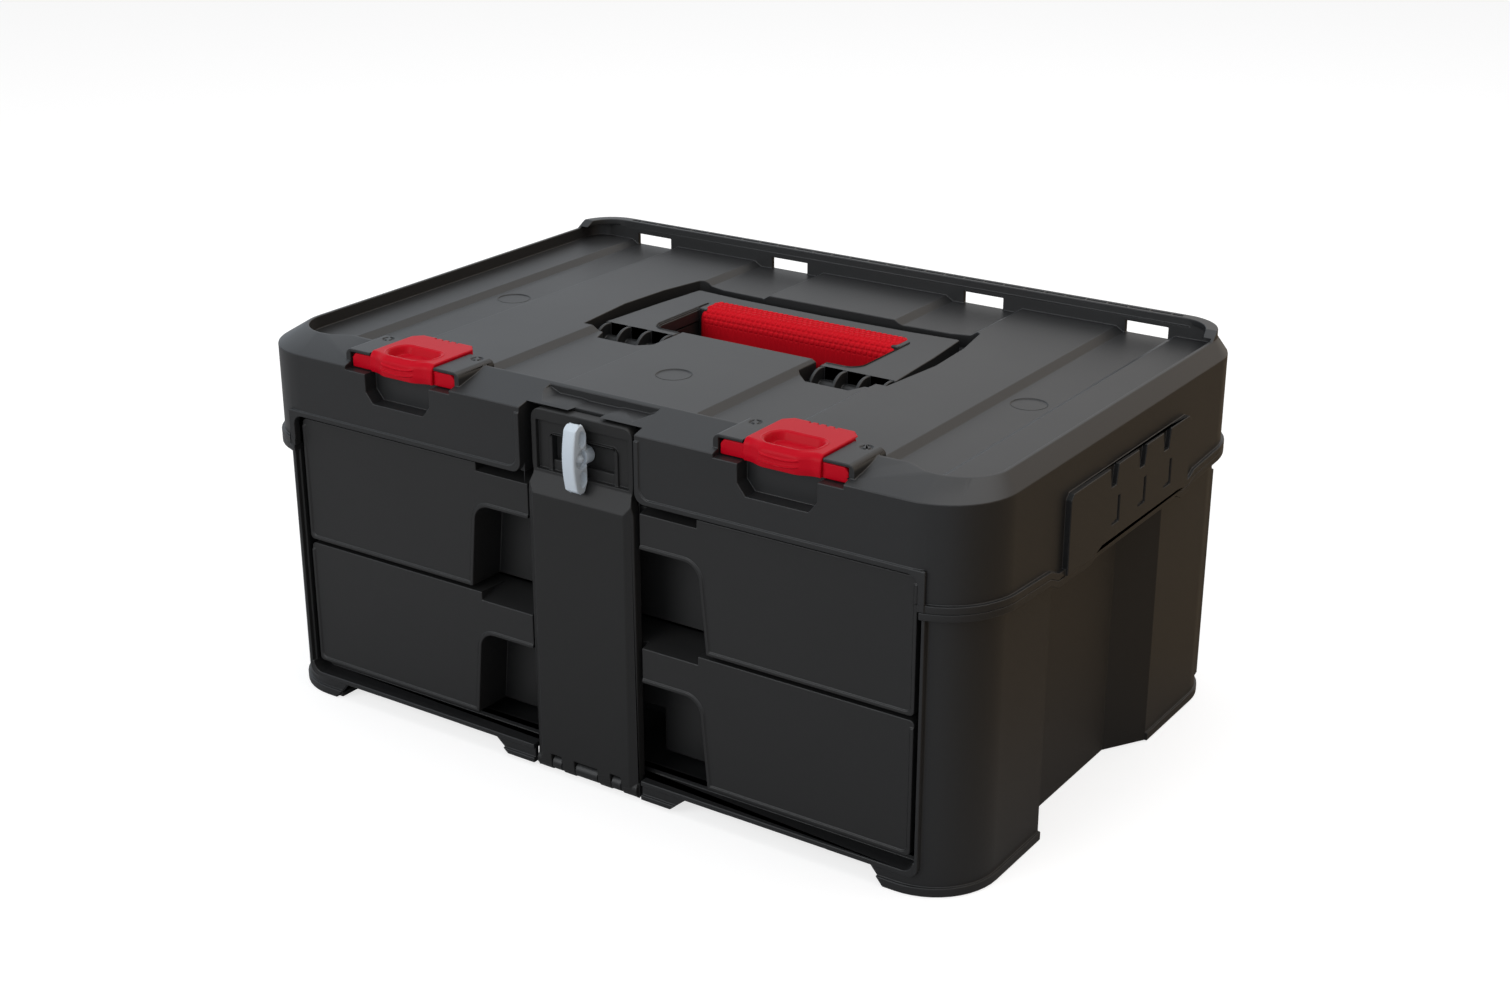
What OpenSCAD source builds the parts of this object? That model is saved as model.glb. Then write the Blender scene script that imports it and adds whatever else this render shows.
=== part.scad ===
// Portable tool box with two drawers that run on ball slides, a hinged front
// flap with a turn knob, two stacking latches and a fold-down carrying handle.
// Millimetres. The box rests on z = 0, its front faces -y, and the origin is
// in the middle of its footprint.

/* [Case] */
// Width of the cover across its side walls
case_w = 477; // [465:1:500]
// Depth of the cover from the front fascia to the back wall
case_d = 323; // [318:1:340]
// Radius of the upright corners of the cover
corner_r = 38; // [34:1:42]
// Wall thickness of the case mouldings
wall = 3; // [2.6:0.1:3.4]
// Height of the floor of the case above the ground
foot_h = 13.5; // [12.5:0.5:16]
// Height of the cover fascia above the upper drawer
fascia_h = 37.2; // [36:0.2:40]
// Width of the slope along the front of the top
front_slope = 27; // [24:1:30]
// Rise of the slope round the top
slope_rise = 7.2; // [6.5:0.1:8]
// How far the body wall stands inside the cover wall
body_inset = 3.5; // [3:0.1:4]
// How far the two beads of the parting line stand out from the cover
bead = 2; // [1.5:0.1:2.5]
// Depth of the hollow in each side of the body
side_hollow = 15; // [10:1:15.5]
// How far the grip pads on the sides of the cover stand out
side_pad = 3.5; // [2.5:0.1:4.5]

/* [Top panel] */
// Depth of the low channels of the top panel below the rim
panel_drop = 10.4; // [9.8:0.1:11]
// Height of the high bands of the top panel above the channels
panel_step = 3; // [2:0.25:4]
// Height of the rear rail above the rim
rail_rise = 4.6; // [3:0.2:6]
// Thickness of the rear rail
rail_t = 7; // [6:0.5:8]

/* [Drawers] */
// Width of the case beside each drawer front
pillar_w = 33.5; // [32.5:0.5:35.5]
// Height of the lower drawer front
lower_front_h = 76.5; // [74:0.5:82]
// Height of the upper drawer front
upper_front_h = 75; // [73:0.5:80]
// Gap above and between the drawer fronts
drawer_gap = 2.5; // [2:0.1:3.5]
// How far the drawer faces stand behind the fascia
drawer_setback = 3.8; // [3:0.1:4.5]
// Width of the top of the pull recess in each drawer front
pull_w = 150; // [140:1:160]
// Depth of the pull recess behind the drawer face
pull_depth = 22.8; // [20:0.2:24]
// Wall thickness of the drawer trays
tray_wall = 2.5; // [2:0.1:3]
// How far a drawer pulls out
drawer_travel = 220; // [150:5:225]

/* [Slides] */
// Thickness of a slide, from tray side to case rib
slide_t = 12.5; // [12:0.1:13]
// Height of the case half of a slide
slide_h = 35; // [34:0.5:40]
// Thickness of the slide steel
steel_t = 1.2; // [1:0.1:1.4]
// Diameter of the slide balls
ball_d = 4.6; // [4:0.1:4.8]

/* [Flap] */
// Width of the lower part of the front flap
flap_w = 70.6; // [66:0.2:72]
// Width of the flap head
head_w = 67.6; // [62:0.2:68]
// Diameter of the flap hinge pin
flap_pin_d = 4; // [3.6:0.1:4.4]
// Height of the knob wing
knob_h = 38.6; // [34:0.2:40]
// How far the knob stands in front of the fascia
knob_reach = 7.5; // [6:0.1:9]

/* [Latches] */
// Distance of each stacking latch from the middle
latch_x = 125.6; // [122:0.2:130]
// Width of the latch face
latch_w = 45.8; // [42:0.2:48]

/* [Handle] */
// Width of the handle frame
handle_w = 202; // [199:1:207]
// Length of the grip
grip_l = 130; // [120:1:134]
// Diameter of the handle pins
handle_pin_d = 6; // [5:0.1:6.5]

/* [Hidden] */

$fn = 40;
eps = 0.01;          // overlap that keeps cuts clean
corner_steps = 12;   // flats in a quarter turn of a drawn corner
fit_gap = 0.4;       // gap beside parts that move in a slot
pin_gap = 0.05;      // radial play of a pin in its bore
big = 600;           // longer than the box

// Plan of the case
half_w = case_w / 2;
front_y = -case_d / 2;
back_y = case_d / 2;
shell_shift = (knob_reach - bead) / 2;
body_half = half_w - body_inset;
body_front = front_y + 1.5;
body_back = back_y - 2;
body_r = corner_r - 1;
hollow_x = body_half - side_hollow;
hollow_y0 = -74;
hollow_y1 = 35;
hollow_y2 = 60;
hollow_turn = tan(atan(side_hollow / (hollow_y2 - hollow_y1)) / 2);

// Levels
floor_z = foot_h;
lower_z0 = floor_z + 7;
lower_z1 = lower_z0 + lower_front_h;
upper_z0 = lower_z1 + drawer_gap;
upper_z1 = upper_z0 + upper_front_h;
fascia_z0 = upper_z1 + drawer_gap;
fascia_z1 = fascia_z0 + fascia_h;
rim_z = fascia_z1 + slope_rise;
rail_z = rim_z + rail_rise;
low_z = rim_z - panel_drop;
high_z = low_z + panel_step;
seam_z = upper_z1 - 16;
ledge_z = seam_z - 14.5;
cavity_z = low_z - wall;

// Top outline
side_slope = 9.4;
back_slope = 3.5;
top_r = 26;
rim_t = 2;
rail_y0 = back_y - 18;
corner_dip = 6.5;
dip_x0 = half_w - 54.5;
dip_x1 = half_w - 42.5;
panel_r = 12;
panel_y1 = rail_y0 + 7;
sill_drop = 7;
groove_half = half_w - 38.5;
groove_y = back_y - back_slope - rail_t / 2;
groove_webs = 14;
gate_x = half_w - 59.5;
window_xs = [71, half_w - 59];
window_half = 13.5;
window_wall = 3;
channels = [[50, 93], [half_w - 73.5, half_w - 45.5]];
channel_flank = 5;

// Front opening
drawer_w = case_w - 2 * pillar_w;
open_half = drawer_w / 2 + 3;
open_r = 6;
jamb_t = 3;
jamb_back = front_y + 12;
lip_w = 3;
lip_out = 0.9;
lip_r = 6;

// Drawers
face_y = front_y + drawer_setback;
pull_back = face_y + pull_depth;
front_back = pull_back + 3.4;
strip_h = 25;
step_half = 74;
step_drop = 4.8;
pull_half = pull_w / 2;
pull_lean = 5;
pull_r = 10;
face_bead_w = 2.2;
face_bead_out = 0.7;
tray_half = open_half - slide_t - 0.5;
tray_y1 = back_y - 14;
scoop_half = flap_w / 2 + 3;
scoop_z = lower_z0 + 25.5;
scoop_back = front_y + 60;
channel_half = flap_w / 2 + 2.2;
channel_y = front_y + 10;
skin = 3;
front_screw_xs = [pull_half + 21.5, drawer_w / 2 - 22];

// Slides
slide_y0 = front_back + 2;
slide_y1 = back_y - 11;
slide_len = slide_y1 - slide_y0;
rib_x = tray_half + slide_t;
lip_x = tray_half + 2.3;
runner_h = slide_h - 13;
runner_depth = 9;
race_z = (slide_h / 2 - steel_t + runner_h / 2) / 2;
ball_x = tray_half + 6;
cage_len = slide_len - drawer_travel - 2;
cage_y0 = slide_y0 + drawer_travel / 2 + 1;
cage_web = tray_half + runner_depth + 0.6;
cage_t = 0.8;
balls_in_row = 4;
upper_slide_z = upper_z0 + 36;
lower_slide_z = lower_z0 + 36;
screw_r = 1.7;
screw_head_r = 3.6;
screw_head_h = 1.6;
flat_head_h = 0.5;
rail_screw_len = 8;
rib_w = 8;
rib_ys = [slide_y0 + 6, -50, 10, back_y - 30];
rail_screw_ys = [rib_ys[0], rib_ys[1], rib_ys[3]];
runner_screw_ys = [slide_y0 + 20, slide_y0 + slide_len / 2, slide_y1 - 26];

// Cover screws
column_x = open_half + 14;
column_ys = [front_y + 56, back_y - 44];
column_r = 6;

// Flap and lock
hinge_y = front_y + 4;
hinge_z = 6;
knuckle_r = 4.4;
flap_half = flap_w / 2;
flap_face_half = flap_half - 5;
head_half = head_w / 2;
head_r = 6;
flap_front = front_y - 0.8;
flap_back = front_y + 7.5;
flap_z0 = 1.5;
shoulder_z0 = upper_z1 - 6.5;
shoulder_z1 = upper_z1 + 3;
head_top = fascia_z1 + 0.3;
head_rim_y = front_y + 4.3;
head_plate_y = front_y + 7;
head_floor_y = front_y + 10;
head_back = front_y + 12;
knob_z = fascia_z0 + 16.5;
centre_knuckle = 7.7;
side_knuckle_x = 20.7;
side_knuckle = 3.2;
window_z = 12;
bay_half = head_half + 4.3;
bay_back = front_y + 22;
keeper_y = head_back + 0.6;
keeper_t = 2;
keeper_x = 14;
keeper_half_h = 8.5;
cam_y = keeper_y + keeper_t + 0.5;
cam_t = 3;
cam_half = 18;
cam_w = 9;
spindle_r = 3;
boss_r = 5;
cam_screw_r = 1.3;

// Latches
latch_half = latch_w / 2;
latch_bar_half = latch_half + 14.8;
latch_top = rim_z + 3.1;
latch_z0 = fascia_z1 - 1.6;
bay_floor = rim_z - 2.6;
bar_top = rim_z - 0.6;
bar_front = front_y + 6;
ear_top = rim_z + 1.8;
ear_half = latch_bar_half + 4;
ear_r = 4;
ear_back = front_y + 35;
seat_half = latch_half - 1.5;
mark_r = 3.4;
ear_mark_x = latch_half + 10;
latch_back = front_y + 44;
latch_travel = 6;
foot_y0 = front_y + 14;
foot_y1 = latch_back - 4;
thumb_half = 16;
foot_neck = 5;
foot_half = 9;
foot_t = 3.4;
foot_z0 = low_z + 0.5;

// Handle
handle_half = handle_w / 2;
handle_top = low_z + 0.5;
plate_t = 8;
hinge_hy = -8;
hinge_hz = handle_top - 12.2;
disc_r = 12.2;
pad_half = 47.5;
pad_back = -3;
pocket_x0 = pad_half;
pocket_x1 = handle_half + 1;
pocket_mid = 86.5;
pocket_lean = 11;
pocket_y0 = -31.5;
pocket_y1 = hinge_hy - disc_r - 0.8;
pocket_y2 = hinge_hy + disc_r + 1.3;
grip_y0 = 48;
grip_y1 = 66;
grip_z0 = handle_top - 24.5;
grip_z1 = handle_top + 2.5;
grip_half = grip_l / 2;
hole_half = grip_half + 5.5;
hole_y0 = 3;
frame_back = 81.5;
recess_half = handle_half + 8;
recess_back = frame_back + 6.5;
recess_z = handle_top - plate_t - 1;
pocket_z = hinge_hz - 14.5;
well_z = fascia_z0 + wall;
disc_t = 2.2;
disc_x = pocket_x0 + 4.5;
disc_pitch = (handle_half - 1.7 - disc_t - disc_x) / 3;

// ---------- shared shapes ----------

// points of an arc about c
function arc_points(c, r, a0, a1) =
  [for (i = [0:corner_steps], a = a0 + (a1 - a0) * i / corner_steps) c + r * [cos(a), sin(a)]];

// a rectangle with four round corners
function round_box(x0, x1, y0, y1, r) = concat(
  arc_points([x1 - r, y0 + r], r, -90, 0),
  arc_points([x1 - r, y1 - r], r, 0, 90),
  arc_points([x0 + r, y1 - r], r, 90, 180),
  arc_points([x0 + r, y0 + r], r, 180, 270));

function flipped(points) = [for (i = [len(points) - 1:-1:0]) [-points[i][0], points[i][1]]];

// plan of the cover, grown outwards by out
function case_plan(out) =
  round_box(-half_w - out, half_w + out, front_y - out, back_y + out, corner_r + out);

// plan of the body without its side hollows, shrunk by t
function full_plan(t) =
  round_box(-body_half + t, body_half - t, body_front + t, body_back - t, body_r - t);

// right-hand side hollow of the body plan, shrunk by t
function side_notch(t) = [
  [body_half - t, hollow_y0 - t],
  [hollow_x - t, hollow_y0 - t],
  [hollow_x - t, hollow_y1 + t * hollow_turn],
  [body_half - t, hollow_y2 + t * hollow_turn]];

// plan of the body with its side hollows, shrunk by t
function body_plan(t) = concat(
  arc_points([body_half - body_r, body_front + body_r], body_r - t, -90, 0),
  side_notch(t),
  arc_points([body_half - body_r, body_back - body_r], body_r - t, 0, 90),
  arc_points([body_r - body_half, body_back - body_r], body_r - t, 90, 180),
  flipped(side_notch(t)),
  arc_points([body_r - body_half, body_front + body_r], body_r - t, 180, 270));

// outline of the top of the rim, shrunk by t
function top_plan(t) = round_box(-half_w + side_slope + t, half_w - side_slope - t,
  front_y + front_slope + t, back_y - back_slope - t, top_r - t);

// right-hand front corner of the rim, which dips forwards before it turns, shrunk by t
function corner_curve(t) = concat(
  [[dip_x0, front_y + front_slope + t], [dip_x0 + 3, front_y + front_slope - 0.8 + t],
    [dip_x1, front_y + front_slope - corner_dip + 0.5 + t]],
  arc_points([half_w - side_slope - top_r, front_y + front_slope - corner_dip + top_r], top_r - t, -90, 0));

// plan of the sunk panel inside the rim
function panel_plan() = concat(
  corner_curve(rim_t),
  arc_points([half_w - side_slope - rim_t - panel_r, panel_y1 - panel_r], panel_r, 0, 90),
  flipped(arc_points([half_w - side_slope - rim_t - panel_r, panel_y1 - panel_r], panel_r, 0, 90)),
  flipped(corner_curve(rim_t)));

// the parting line seen from the side, as [y, z]
seam_line = [[-big, seam_z], [-137, seam_z], [-86, seam_z - 2.5], [-77, seam_z - 6.5], [-40, seam_z - 7],
  [-31, seam_z - 3.5], [66, seam_z - 3.5], [73, seam_z - 7], [84, seam_z - 6], [90, seam_z - 3], [134, seam_z],
  [big, seam_z]];

module at_shell() {
  translate([0, shell_shift, 0]) children();
}

module slab(points, z0, z1) {
  translate([0, 0, z0]) linear_extrude(z1 - z0) polygon(points);
}

module block(x0, x1, y0, y1, z0, z1) {
  translate([x0, y0, z0]) cube([x1 - x0, y1 - y0, z1 - z0]);
}

// a [y, z] outline drawn out along x
module along_x(points, x0, x1) {
  translate([x0, 0, 0]) rotate([90, 0, 90]) linear_extrude(x1 - x0) polygon(points);
}

// an [x, z] outline drawn out along y
module along_y(points, y0, y1) {
  translate([0, y1, 0]) rotate([90, 0, 0]) linear_extrude(y1 - y0) polygon(points);
}

module rod_x(r, x0, x1, y, z) {
  translate([x0, y, z]) rotate([0, 90, 0]) cylinder(r = r, h = x1 - x0);
}

module rod_y(r, y0, y1, x, z) {
  translate([x, y0, z]) rotate([-90, 0, 0]) cylinder(r = r, h = y1 - y0);
}

module both_sides() {
  children();
  mirror([1, 0, 0]) children();
}

// everything above or below the parting line, shifted up by lift
module above_seam(lift) {
  translate([0, 0, lift]) along_x(concat(seam_line, [[big, big], [-big, big]]), -big, big);
}

module below_seam(lift) {
  translate([0, 0, lift]) along_x(concat(seam_line, [[big, -big], [-big, -big]]), -big, big);
}

// a cross-headed screw along +z with its head below z = 0
module screw(len, r, head_r, head_h) {
  difference() {
    union() {
      translate([0, 0, -head_h]) cylinder(r = head_r, h = head_h);
      cylinder(r = r, h = len);
    }
    for (turn = [0, 90])
      rotate(turn) translate([-head_r * 0.6, -0.45, -head_h - eps]) cube([head_r * 1.2, 0.9, head_h / 2]);
  }
}

// ---------- lower body ----------

// lower edge of the front and back skirts as [x, z]
skirt_mid = floor_z - 4;
skirt_high = floor_z - wall;
skirt_end = half_w - 47.5;
skirt_half = [[0, 2], [57, 2], [66, skirt_mid], [94, skirt_mid], [101, skirt_high],
  [skirt_end - 42, skirt_high], [skirt_end - 34, skirt_mid], [skirt_end - 8, skirt_mid], [skirt_end, 0]];

module skirt_cut() {
  along_y(concat(skirt_half, [[skirt_end, -5], [0, -5]]), -big, big);
}

module front_opening(half, z0, z1) {
  along_y([for (p = round_box(-half, half, z0, z1 + open_r + 5, open_r)) [p[0], min(p[1], z1)]],
    front_y - 5, jamb_back);
}

module rail_ribs() {
  for (y = rib_ys) {
    outer = (y > hollow_y0 - rib_w && y < hollow_y1) ? hollow_x - 1 : body_half - 1;
    block(rib_x, outer, y - rib_w / 2, y + rib_w / 2, floor_z - 1, ledge_z);
  }
}

// shelf that the cover column stands on
module column_shelf(y) {
  block(rib_x + 2, body_half - 1, y - 12, y + 12, ledge_z, ledge_z + wall);
}

module rail_pilots() {
  for (z = [upper_slide_z, lower_slide_z], y = rail_screw_ys)
    rod_x(screw_r + pin_gap, rib_x - 1, rib_x + rail_screw_len, y, z);
}

module flap_knuckle(half) {
  rod_x(knuckle_r, -half, half, hinge_y, hinge_z);
  block(-half, half, hinge_y, front_y + 13, hinge_z - 3.8, hinge_z + 3.8);
}

module lower_body() {
  color("#26282b") at_shell() difference() {
    union() {
      difference() {
        union() {
          slab(body_plan(0), 0, ledge_z);
          slab(full_plan(0), ledge_z - eps, seam_z);
          // bead under the parting line
          intersection() {
            slab(case_plan(bead), seam_z - 12, seam_z);
            below_seam(0);
            above_seam(-4);
          }
          // foot bead
          difference() {
            slab(full_plan(bead - body_inset), 0, 5);
            block(hollow_x - 5, big, hollow_y0, hollow_y2, -1, 6);
            block(-big, -hollow_x + 5, hollow_y0, hollow_y2, -1, 6);
          }
        }
        slab(body_plan(wall), floor_z, ledge_z + wall + eps);
        slab(full_plan(wall), ledge_z + wall, seam_z + 1);
        slab(body_plan(wall), -1, floor_z - wall);
        difference() {
          skirt_cut();
          block(-skirt_end, skirt_end, body_front + wall, body_back - wall, -big, big);
        }
        mirror([1, 0, 0]) difference() {
          skirt_cut();
          block(-skirt_end, skirt_end, body_front + wall, body_back - wall, -big, big);
        }
        front_opening(open_half, floor_z, seam_z + 20);
      }
      // jamb that lines the front opening
      difference() {
        intersection() {
          translate([0, 0.2, 0]) front_opening(open_half + jamb_t, floor_z - jamb_t, seam_z - 4);
          block(-big, big, front_y + 0.2, big, 0, big);
        }
        front_opening(open_half, floor_z, seam_z + 20);
        block(-open_half - 1, open_half + 1, front_y, jamb_back + 1, floor_z + open_r, big);
      }
      // corner feet
      difference() {
        slab(full_plan(1), 0, wall);
        block(3 - skirt_end, skirt_end - 3, -big, big, -1, 9);
        block(-big, big, front_y + 62, back_y - 62, -1, 9);
      }
      both_sides() {
        rail_ribs();
        for (y = column_ys) column_shelf(y);
      }
    }
    above_seam(-eps);
    // room for the flap and its hinge
    block(-channel_half, channel_half, front_y - 5, front_y + 11.1, -1, floor_z + 1);
    both_sides() {
      rail_pilots();
      for (y = column_ys)
        translate([column_x, y, ledge_z - 1]) cylinder(r = screw_r + pin_gap, h = wall + 2);
    }
  }
  color("#26282b") at_shell() difference() {
    union() {
      flap_knuckle(centre_knuckle);
      for (s = [-1, 1]) translate([s * side_knuckle_x, 0, 0]) flap_knuckle(side_knuckle);
      block(-channel_half, channel_half, front_y + 11.1, front_y + 13.5, 2, floor_z);
    }
    rod_x(flap_pin_d / 2, -big, big, hinge_y, hinge_z);
  }
}

// ---------- top cover ----------

module side_grip_pad() {
  pad_x1 = half_w + side_pad;
  z_top = fascia_z1 - 18;
  groove_ys = [-21, 13.5, 44.5];
  difference() {
    along_x([[-70.7, seam_z - 6], [-40, seam_z - 6], [-31, seam_z - 3], [66, seam_z - 3], [77, seam_z - 5],
      [77, z_top - 3], [74, z_top], [-67.7, z_top], [-70.7, z_top - 3]], half_w - 1, pad_x1);
    for (y = groove_ys)
      along_x([[y - 5, z_top + 1], [y - 3, z_top - 11], [y + 3, z_top - 11], [y + 5, z_top + 1]],
        pad_x1 - side_pad + 0.5, pad_x1 + 1);
    for (y = [-15, 17, 50]) {
      block(pad_x1 - 1.5, pad_x1 + 1, y, y + 2.5, z_top - 33, z_top - 18);
      block(pad_x1 - 1.5, pad_x1 + 1, y - 6, y + 2.5, z_top - 33, z_top - 31);
    }
  }
}

// the ears over the side bars of a latch, and the seat under its plate
module latch_platform() {
  along_y(round_box(-ear_half, ear_half, fascia_z1 - 10, ear_top, ear_r), front_y + 5, ear_back);
  block(-seat_half, seat_half, front_y + 5, latch_back - 1.5, fascia_z1 - 6, bay_floor + 1);
  block(-latch_half - 3, latch_half + 3, front_y + 1, front_y + 12, fascia_z0 + 12, fascia_z1 - 1);
}

module latch_cuts() {
  // bay of the side bars, under the ears
  block(-latch_bar_half - 0.6, latch_bar_half + 0.6, front_y - 3, front_y + 11,
    latch_z0 - 0.5, bar_top + 0.5);
  // C-shaped marks on the ears
  for (x = [-ear_mark_x, ear_mark_x]) translate([x, ear_back - 4.5, ear_top - 0.6]) difference() {
    cylinder(r = mark_r, h = 2);
    translate([0, 0, -1]) cylinder(r = mark_r - 1.4, h = 4);
    rotate(35) translate([-0.7, -mark_r, -1]) cube([1.4, 2 * mark_r, 4]);
  }
  // bay of the top plate
  block(-latch_half - 0.6, latch_half + 0.6, front_y - 3, latch_back + 0.6, bay_floor, latch_top + 5);
  // slot that the foot of the latch slides in
  slot_y0 = foot_y0 - latch_travel - 0.3;
  neck = foot_neck + fit_gap;
  tongue = foot_half + fit_gap;
  block(-neck, neck, slot_y0, foot_y1 + 1, foot_z0, bay_floor + 1);
  block(-tongue, tongue, slot_y0, foot_y1 + 1, foot_z0 - fit_gap, foot_z0 + foot_t + fit_gap);
  // pocket below the latch
  edge = latch_half + 0.6;
  along_y([[-edge, latch_z0 + 1], [-edge, fascia_z1 - 12.5], [-edge + 5, fascia_z1 - 18.7],
    [edge - 5, fascia_z1 - 18.7], [edge, fascia_z1 - 12.5], [edge, latch_z0 + 1]], front_y - 3, front_y + 9);
}

module rear_windows() {
  for (x = window_xs)
    for (side = [0, 1]) mirror([side, 0, 0]) {
      block(x - window_half, x + window_half, rail_y0 - 6, back_y + 9, low_z, low_z + 7.5);
      // wider pocket behind the thin wall
      block(x - window_half - 8, x + window_half + 8, panel_y1 + window_wall, back_y + 9, low_z - sill_drop,
        low_z + 7.5);
    }
}

// recess that the folded handle lies in
pocket_front = [[pad_half, pocket_y1], [pad_half + pocket_lean, pocket_y0], [pocket_mid, pocket_y0],
  [pocket_mid + 4, pocket_y1]];
recess_side = concat([[pad_half, pad_back]], pocket_front, [
  [recess_half - 4.5, pocket_y1], [recess_half, 25], [recess_half - 2.5, recess_back - 26],
  [recess_half - 8.5, recess_back + 4], [recess_half - 13.5, recess_back + 7],
  [recess_half - 27.5, recess_back + 3], [pad_half + 4.5, recess_back + 2], [pad_half, recess_back]]);

// solid round the handle recess, its hinge pockets and the finger well
module handle_housing() {
  block(-recess_half - wall, recess_half + wall, pocket_y1 - wall, recess_back + 7 + wall, recess_z - wall,
    cavity_z + 1);
  both_sides()
    block(pocket_x0 - wall, pocket_x1 + wall, pocket_y0 - wall, pocket_y2 + wall,
      pocket_z - wall, cavity_z + 1);
  block(-hole_half - wall - 1, hole_half + wall + 1, pad_back - wall, grip_y1 + 3 + wall,
    fascia_z0, cavity_z + 1);
}

module handle_cuts() {
  slab(concat(recess_side, flipped(recess_side)), recess_z, rail_z);
  both_sides() {
    slab(pocket_front, pocket_z, recess_z + 1);
    block(pocket_x0, pocket_x1, pocket_y1 - eps, pocket_y2, pocket_z, recess_z + 1);
  }
  block(-hole_half - 1, hole_half + 1, pad_back, grip_y1 + 3, well_z, recess_z + 1);
  both_sides() rod_x(handle_pin_d / 2, pocket_x0 - 2, pocket_x1 + 2, hinge_hy, hinge_hz);
}

module lock_bay_walls() {
  difference() {
    block(-bay_half - wall, bay_half + wall, front_y + 1, bay_back + wall, fascia_z0, cavity_z + 1);
    block(-bay_half, bay_half, front_y, bay_back, fascia_z0 - 1, cavity_z + 2);
  }
}

module lock_keepers() {
  both_sides()
    block(keeper_x, bay_half + 1, keeper_y, keeper_y + keeper_t,
      knob_z - keeper_half_h, knob_z + keeper_half_h);
}

module lock_bay_cut() {
  block(-bay_half, bay_half, front_y - 3, head_back + 1, fascia_z0 - 30, fascia_z1 + 1.8);
  block(-bay_half, bay_half, head_back - 1, bay_back, fascia_z0 - 30, fascia_z1 - 1.7);
  // notch in the front slope above the flap
  notch_side = [[0, fascia_z1 + 1.8], [10, fascia_z1 + 1.8], [14, fascia_z1 + 2.5],
    [bay_half - 8, fascia_z1 + 2.5], [bay_half - 1.7, rim_z - 2], [bay_half - 1.7, rim_z]];
  along_y(concat(notch_side, flipped(notch_side)), front_y - 3, front_y + front_slope - 2);
}

// the slope up to the dipped part of the rim, at the right-hand front corner
module dipped_corner() {
  side_x = half_w - side_slope;
  hull() {
    intersection() {
      slab(case_plan(0), fascia_z1 - 0.2, fascia_z1);
      block(dip_x0 - 30, big, -big, front_y + 80, 0, big);
    }
    slab(concat(corner_curve(0), [[side_x, front_y + 80], [dip_x0, front_y + 80]]), rim_z - 0.02, rim_z);
  }
}

module panel_channel(x0, x1) {
  along_y([[x0, low_z], [x1, low_z], [x1 + channel_flank, high_z], [x1 + channel_flank, high_z + 1],
    [x0 - channel_flank, high_z + 1], [x0 - channel_flank, high_z]], -big, big);
}

module top_cover() {
  color("#2b2e31") at_shell() difference() {
    union() {
      difference() {
        union() {
          slab(case_plan(0), seam_z - 8, fascia_z1);
          hull() {
            slab(case_plan(0), fascia_z1 - 0.2, fascia_z1);
            slab(top_plan(0), rim_z - 0.02, rim_z);
          }
          both_sides() dipped_corner();
          // rear rail with its ends sloping down to the side rims
          intersection() {
            difference() {
              slab(top_plan(0), fascia_z1, rail_z);
              slab(top_plan(rail_t), fascia_z1 - 1, rail_z + 1);
            }
            along_x([[rail_y0 - 14, fascia_z1], [rail_y0 - 14, rim_z - 0.5], [rail_y0 - 6, rail_z],
              [back_y, rail_z], [back_y, fascia_z1]], -big, big);
          }
          for (x = [-latch_x, latch_x]) translate([x, 0, 0]) latch_platform();
          // bead over the parting line
          intersection() {
            slab(case_plan(bead), seam_z - 12, seam_z + 8);
            above_seam(0);
            below_seam(4);
          }
          both_sides() side_grip_pad();
          both_sides() fascia_lip();
        }
        slab(case_plan(-wall), seam_z - 20, cavity_z - 8);
        slab(round_box(wall - half_w, half_w - wall, front_y + wall, rail_y0 - 2, corner_r - wall),
          cavity_z - 9, cavity_z);
      }
      intersection() {
        handle_housing();
        slab(case_plan(-1), fascia_z0, cavity_z + 1);
      }
      lock_bay_walls();
      for (x = [-latch_x, latch_x]) translate([x, 0, 0])
        block(-latch_half - 3, latch_half + 3, front_y + 1, front_y + 12, fascia_z0 + 12, cavity_z + 1);
      both_sides() for (y = column_ys)
        translate([column_x, y, ledge_z + wall]) cylinder(r = column_r, h = cavity_z - ledge_z);
    }
    below_seam(0);
    // the drawer opening under the fascia
    front_opening_cover();
    // the sunk top panel, with channels between its high bands
    difference() {
      union() {
        slab(panel_plan(), high_z, rim_z + 1);
        intersection() {
          slab(panel_plan(), low_z, high_z + 1);
          both_sides() for (c = channels) panel_channel(c[0], c[1]);
        }
      }
      for (x = [-latch_x, latch_x]) translate([x, 0, 0]) latch_platform();
    }
    for (x = [-latch_x, latch_x]) translate([x, 0, 0]) latch_cuts();
    handle_cuts();
    lock_bay_cut();
    rear_windows();
    both_sides() for (y = column_ys)
      translate([column_x, y, ledge_z]) cylinder(r = screw_r - 0.1, h = 18);
    // groove along the top of the rear rail, crossed by small webs
    difference() {
      block(-groove_half, groove_half, groove_y - 1.2, groove_y + 1.2, rail_z - 2, rail_z + 1);
      for (i = [-groove_webs:groove_webs])
        translate([i * groove_half / (groove_webs + 0.5), groove_y, rail_z]) cube([1.2, 4, 5], center = true);
    }
    // round marks on the panel
    for (p = [[-gate_x, 3, low_z], [gate_x, 3, low_z], [-3, -70, high_z]])
      translate([p[0], p[1], p[2] - 0.4]) cylinder(r = 10, h = 1);
  }
  color("#2b2e31") at_shell() lock_keepers();
}

module front_opening_cover() {
  along_y(round_box(-open_half + 1, open_half - 1, seam_z - 60, fascia_z0, open_r), front_y - 5, front_y + 40);
  // round lower corner of the fascia beside the flap
  both_sides() difference() {
    block(bay_half - 1, bay_half + lip_r, front_y - 5, front_y + wall, fascia_z0 - 1, fascia_z0 + lip_r);
    rod_y(lip_r, front_y - 6, front_y + wall + 1, bay_half + lip_r, fascia_z0 + lip_r);
  }
}

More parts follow.
